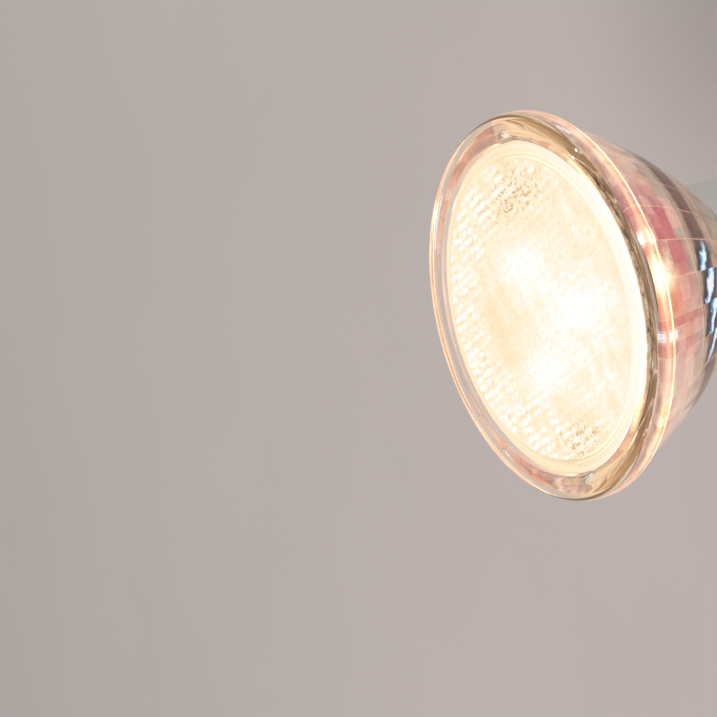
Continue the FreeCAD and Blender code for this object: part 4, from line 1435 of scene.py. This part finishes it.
    def plate(self) -> tuple[np.ndarray, list[np.ndarray], np.ndarray, np.ndarray]:
        """The closed plate: the field's grid, the border's rings joined to its edge, and the back.

        Point (i, j) of the grid has the number i * (grid + 1) + j, ring points follow ring by ring,
        and the last point is the back's middle.

        Returns:
            The points, the faces, the light at each point, and for each face whether it glows.
        """
        x, y = self.disc_grid()
        honeycomb = self.dimples(x, y, self.dimple_row)
        fade = np.clip((self.field_r - np.hypot(x, y)) / self.fade_w, 0, 1)
        side = self.grid + 1
        number = np.arange(side * side).reshape(side, side)
        corners = (number[:-1, :-1], number[1:, :-1], number[1:, 1:], number[:-1, 1:])
        field = np.stack(corners, axis=-1).reshape(-1, 4)
        rim = np.concatenate([number[:-1, 0], number[-1, :-1], number[:0:-1, -1], number[0, :0:-1]])
        azimuths = np.arctan2(y[rim], x[rim])
        order = np.argsort(azimuths)
        rim = rim[order]
        azimuths = azimuths[order]
        section, ring_light, glows = self.border_section()
        start = side * side
        wide = len(azimuths)
        here = np.arange(wide)
        last = start + (len(section) - 1) * wide + here
        middle = start + len(section) * wide
        join = np.stack([np.roll(rim, -1), start + np.roll(here, -1), start + here, rim], axis=1)
        body = Mesh.loop_quads(len(section), wide, False)[:, ::-1] + start
        back = np.stack([np.roll(last, -1), np.full(wide, middle), last], axis=1)
        near = np.clip(np.cos(azimuths + math.radians(88)) * 1.15, 0, 1)
        ring_light = ring_light[:, None] * (0.8 + 0.1 * np.sin(azimuths)) + 0.42 * near
        flank = np.concatenate([np.zeros(len(field) + wide), np.repeat(glows, wide), np.zeros(wide)])
        points = np.concatenate([
            np.stack([x, y, self.field_z + honeycomb[0] * fade * self.dimple_rise], axis=1),
            Profile.turned(section, azimuths),
            [[0.0, 0.0, self.back_z]],
        ])
        light = np.concatenate([self.field_light(x, y, honeycomb), ring_light.ravel(), [0.5]])
        return points, [field, join, body, back], light, flank

    def border_section(self) -> tuple[np.ndarray, np.ndarray, np.ndarray]:
        """Half section from the field's edge over the two steps and down the edge to the back.

        Returns:
            The points, the light at each, and for each stretch whether it is the glowing edge.
        """
        soft = self.border_round
        z = self.front_z
        low = z - self.border_sink
        top = self.field_z
        chamfer_r = self.lens_r - self.chamfer
        edge_z = z - self.chamfer
        rows = np.array([
            (self.field_r + soft, top, 0.6), (self.field_r + 1.6 * soft, top - soft, 0.34),
            (self.field_r + 2 * soft, top - 3 * soft, 0.62), (self.field_r + 3 * soft, low + soft, 0.6),
            (self.field_r + 4 * soft, low, 0.36), (self.step_r - soft, low, 0.6),
            (self.step_r, low + soft, 0.42), (self.step_r + soft, z, 0.62),
            (self.border_r - soft, z, 0.66), (self.border_r, low + soft, 0.4),
            (self.border_r + soft, low, 0.5), (self.border_r + 2 * soft, z, 0.66),
            (chamfer_r - soft, z, 0.62), (chamfer_r, z - soft / 4, 0.58),
            (self.lens_r, edge_z, 0.5), (self.lens_r, edge_z - soft, 0.45),
            (self.lens_r, self.back_z + soft, 0.4), (self.lens_r - soft, self.back_z, 0.35),
            (self.lens_r - self.back_land, self.back_z, 0.4),
        ])
        on_edge = rows[:, 0] == self.lens_r
        return rows[:, :2], rows[:, 2], on_edge[1:] & on_edge[:-1]

    def collimator(self, centre: tuple) -> tuple[np.ndarray, list[np.ndarray]]:
        """One flared light guide, closed, with a drafted and domed pocket in its foot.

        The half section runs from the pocket's roof on the axis down the pocket, across the foot, up
        the bulged side and across the top inside the plate, back to the axis.

        Args:
            centre: x and y of its axis.

        Returns:
            Its points and its faces.
        """
        roof_z = self.foot_z + self.pocket_depth - self.pocket_dome
        roof_r = self.pocket_r - self.pocket_draft
        cap_r = (roof_r ** 2 + self.pocket_dome ** 2) / (2 * self.pocket_dome)
        sweep = np.linspace(0, math.asin(roof_r / cap_r), 8)[1:]
        root_z = (self.back_z + self.field_z) / 2
        section = np.concatenate([
            np.stack([cap_r * np.sin(sweep), roof_z + cap_r * (1 - np.cos(sweep))], axis=1),
            [(self.pocket_r - 0.02 * MM, self.foot_z + 0.4 * MM), (self.pocket_r, self.foot_z)],
            Profile.bulged((self.collimator_foot_r, self.foot_z), (self.collimator_top_r, self.back_z),
                           self.collimator_bulge, 16),
            [(self.collimator_top_r, root_z)],
        ])
        wide = self.ring_points
        rings = Profile.turned(section, np.arange(wide) * TURN / wide, centre)
        here = np.arange(wide)
        beside = np.roll(here, -1)
        end = (len(section) - 1) * wide
        start_fan = np.stack([np.full(wide, len(rings)), beside, here], axis=1)
        end_fan = np.stack([end + here, end + beside, np.full(wide, len(rings) + 1)], axis=1)
        body = Mesh.loop_quads(len(section), wide, False)
        return np.concatenate([rings, [[*centre, roof_z], [*centre, root_z]]]), [body, start_fan, end_fan]


@dataclass
class InnerParts:
    """Finishes of the nodes that keep their CAD shape: seal, boards, driver parts, leads, base, pins."""

    frame: dict
    chip_legs: tuple = (0.7, -1, -1)
    can_h: float = 9.16 * MM
    resistor_r: float = 1.15 * MM

    def centre(self, node: str) -> tuple:
        """Middle of a node's box."""
        low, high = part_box(node)
        return tuple((low + high) / 2)

    def casings(self) -> dict[str, Finish]:
        """Finishes of the seal, the plates, the boards and the base."""
        return {
            "lens_seal": SoftSilicone("seal_bead", (0.36, 0.31, 0.22), speck=(0.05, 0.045, 0.04),
                                      speck_share=0.6),
            "thermal_pad": SoftSilicone("gap_pad", (0.5, 0.56, 0.62)),
            "led_board": CoatedBoard("white_board", (0.86, 0.86, 0.83), self.centre("led_board"),
                                     (1.0, 1.0, 0.0), pitch=2.6 * MM),
            "heat_spreader": SpunMetal(),
            "board_screws": PlatedMetal("zinc_screws", (0.66, 0.67, 0.68)),
            "cement_ring": MattMineral("set_cement", (0.74, 0.71, 0.64), roughness=0.9),
            "base_housing": SatinPlastic("base_moulding", (0.8, 0.78, 0.74)),
            "driver_board": CoatedBoard("green_board", (0.025, 0.16, 0.06), self.centre("driver_board"),
                                        (1.0, 0.0, 1.0), track=(0.08, 0.34, 0.13)),
        }

    def driver_parts(self) -> dict[str, Finish]:
        """Finishes of the large parts on the driver board."""
        low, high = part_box("smoothing_capacitor")
        radius = (high.x - low.x) / 2
        can_axis = ((low.x + high.x) / 2, high.y - radius, 0.0)
        can = SleevedCan("sleeved_can", centre=can_axis, radius=radius, low=high.z - self.can_h, top=high.z)
        low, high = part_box("fusible_resistor")
        middle = ((low.x + high.x) / 2, high.y - self.resistor_r, (low.z + high.z) / 2)
        return {
            "smoothing_capacitor": can,
            "film_capacitor": SatinPlastic("film_case", (0.68, 0.42, 0.04), roughness=0.28),
            "choke_core": MattMineral("ferrite_core", (0.045, 0.045, 0.05), roughness=0.55,
                                      grain=0.2 * MM, depth=0.01 * MM),
            "choke_winding": WoundCopper(),
            "fusible_resistor": RingedResistor("ringed_resistor", centre=middle,
                                               body_r=self.resistor_r + 0.02 * MM),
        }

    def tinned_part(self, node: str) -> Finish:
        """Finish of a part with legs along X, whose body is its box less the legs.

        Args:
            node: The part's node.

        Returns:
            The finish.
        """
        low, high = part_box(node)
        half = tuple((b - a) / 2 - inset * MM for a, b, inset in zip(low, high, self.chip_legs))
        return TinnedPart(f"{node}_body", centre=self.centre(node), half=half)

    def chip_column(self, node: str, count: int, length: float, colour: Colour) -> Finish:
        """Finish of a column of small parts.

        Args:
            node: The node that holds the column.
            count: Number of parts in it.
            length: Length of a part.
            colour: Colour of the bodies.

        Returns:
            The finish.
        """
        low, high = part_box(node)
        pitch = (high.z - low.z - length) / (count - 1)
        foot = (0.0, 0.0, low.z + length / 2 - pitch / 2)
        return ChipColumn(f"{node}_body", colour, foot, length=length, pitch=pitch)

    def wiring(self) -> dict[str, Finish]:
        """Finishes of the leads and the contact pins."""
        leads = {
            "input_lead_left": (0.05, 0.14, 0.45),
            "input_lead_right": (0.2, 0.09, 0.035),
            "output_lead_left": (0.015, 0.015, 0.017),
            "output_lead_right": (0.5, 0.02, 0.015),
        }
        finishes = {
            node: SatinPlastic(f"{node}_skin", colour, roughness=0.3, grain=0.1 * MM,
                               grain_depth=0.004 * MM, mottle=2 * MM)
            for node, colour in leads.items()
        }
        for node in ("contact_pin_left", "contact_pin_right"):
            x, y, _ = self.centre(node)
            finishes[node] = PlatedMetal(f"{node}_plate", (0.72, 0.69, 0.64), (x, y, 0.0))
        return finishes

    def dress(self, node: str, material: bpy.types.Material) -> None:
        """Puts a material on a node and reports it.

        Args:
            node: The node.
            material: The material for all its slots.
        """
        item = self.frame["nodes"][node]
        if not item.data.materials:
            item.data.materials.append(material)
        for slot in item.material_slots:
            slot.material = material
        LOG.info("%s wears %s", node, material.name)

    def build(self) -> None:
        """Dresses every node that keeps its shape."""
        tinned = ("bridge_rectifier", "driver_chip", "freewheel_diode")
        finishes = self.casings() | self.driver_parts() | self.wiring()
        finishes |= {node: self.tinned_part(node) for node in tinned}
        finishes |= {node: LitSource(f"{node}_phosphor", centre=self.centre(node))
                     for node in ("led_1", "led_2", "led_3")}
        finishes |= {
            "chip_resistors": self.chip_column("chip_resistors", 4, 1.6 * MM, (0.012, 0.012, 0.014)),
            "chip_capacitors": self.chip_column("chip_capacitors", 3, 2.0 * MM, (0.45, 0.28, 0.15)),
        }
        for node, finish in finishes.items():
            self.dress(node, finish.make())


@dataclass(frozen=True)
class TableTop(Finish):
    """Plain pale table with the faintest cloudiness."""

    name: str = "pale_table"
    colour: Colour = (0.61, 0.545, 0.515)

    def look(self, graph: Graph, place: Value) -> Feeds:
        """Clouds of two close shades."""
        colour = place.noise(60 * MM).shades(self.colour, 0.3, 0.7, 0.97)
        return {"Base Color": colour, "Roughness": 0.7, "Specular IOR Level": 0.2}


@dataclass
class Studio:
    """Floor, soft light and the camera at the photograph's viewing angle."""

    floor_half: float = 2.0
    tilt_deg: float = 60.914
    roll_deg: float = 13.486
    depth: float = 0.3
    rim_centre_z: float = 52.8 * MM
    rim_centre_px: tuple = (543.71, 308.0)
    image_px: float = 717.0
    focal_px: float = 2378.2
    sensor_mm: float = 36.0
    surround: tuple = (0.96, 0.97, 1.0, 1.0)
    surround_strength: float = 0.47
    aim: tuple = (0.0, 0.0, 0.035)

    def floor(self) -> None:
        """A wide plain floor under the pins."""
        half = self.floor_half
        mesh = bpy.data.meshes.new("floor")
        corners = [(-half, -half, 0.0), (half, -half, 0.0), (half, half, 0.0), (-half, half, 0.0)]
        mesh.from_pydata(corners, [], [(0, 1, 2, 3)])
        mesh.materials.append(TableTop().make())
        item = placed("floor", mesh)

    def world(self) -> None:
        """A soft even surround."""
        world = bpy.data.worlds.new("surround")
        world.use_nodes = True
        background = world.node_tree.nodes["Background"]
        background.inputs["Color"].default_value = self.surround
        background.inputs["Strength"].default_value = self.surround_strength
        bpy.context.scene.world = world

    def lamp(self, name: str, place: tuple, size: float, power: float, colour: Colour) -> None:
        """One soft square lamp that faces the bulb's middle.

        Args:
            name: Its name.
            place: Where it hangs, in metres.
            size: Length of its side.
            power: Power in watts.
            colour: Colour of its light.
        """
        light = bpy.data.lights.new(name, "AREA")
        light.size = size
        light.energy = power
        light.color = colour
        item = placed(name, light)
        item.location = place
        item.rotation_euler = (Vector(self.aim) - Vector(place)).to_track_quat("-Z", "Y").to_euler()

    def lamps(self) -> None:
        """A large key lamp, a fill and a rim lamp."""
        self.lamp("key", (-0.35, -0.1, 0.5), 0.3, 1.25, (1.0, 0.98, 0.95))
        self.lamp("fill", (0.4, -0.35, 0.3), 0.3, 0.4, (0.95, 0.97, 1.0))
        self.lamp("back", (0.2, 0.36, 0.6), 0.25, 0.6, (1.0, 0.97, 0.94))

    def camera(self) -> None:
        """The camera, placed from its tilt against the bulb's axis and where the rim's centre falls.

        The axis towards the base is (sin t cos r, -sin t sin r, cos t) for the tilt t and the roll r, in
        the camera's own directions right, down and ahead. The rim's centre lies ahead by the depth.
        The bulb's X, Y and Z in those directions then give the camera's turn, with the camera on -Y.
        """
        tilt = math.radians(self.tilt_deg)
        roll = math.radians(self.roll_deg)
        up = -np.array([math.sin(tilt) * math.cos(roll), -math.sin(tilt) * math.sin(roll), math.cos(tilt)])
        offset = (np.array(self.rim_centre_px) - self.image_px / 2) / self.focal_px
        centre = np.array([*offset, 1.0]) * self.depth
        away = centre - (centre @ up) * up
        away /= np.linalg.norm(away)
        turn = np.array([np.cross(away, up), away, up])
        place = np.array([0.0, 0.0, self.rim_centre_z]) - turn @ centre
        right, top, back = turn @ (1, 0, 0), turn @ (0, -1, 0), turn @ (0, 0, -1)
        lens = bpy.data.cameras.new("camera")
        lens.sensor_width = self.sensor_mm
        lens.lens = self.focal_px / self.image_px * self.sensor_mm
        lens.clip_start = 0.01
        item = placed("camera", lens)
        axes = np.array([right, top, back]).T
        item.matrix_world = Matrix([(*row, p) for row, p in zip(axes, place)] + [(0, 0, 0, 1)])
        bpy.context.scene.camera = item

    def build(self) -> None:
        """Sets the whole studio up."""
        self.floor()
        self.world()
        self.lamps()
        self.camera()
        bpy.context.scene.view_settings.view_transform = "Standard"


def main() -> None:
    """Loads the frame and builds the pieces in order."""
    logging.basicConfig(level=logging.INFO, format="%(name)s: %(message)s")
    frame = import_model()
    for sub_assembly in (GlassReflector(), FrontLens()):
        item = sub_assembly.build()
        LOG.info("%s has %d faces", item.name, len(item.data.polygons))
    InnerParts(frame).build()
    Studio().build()


if __name__ == "__main__":
    main()
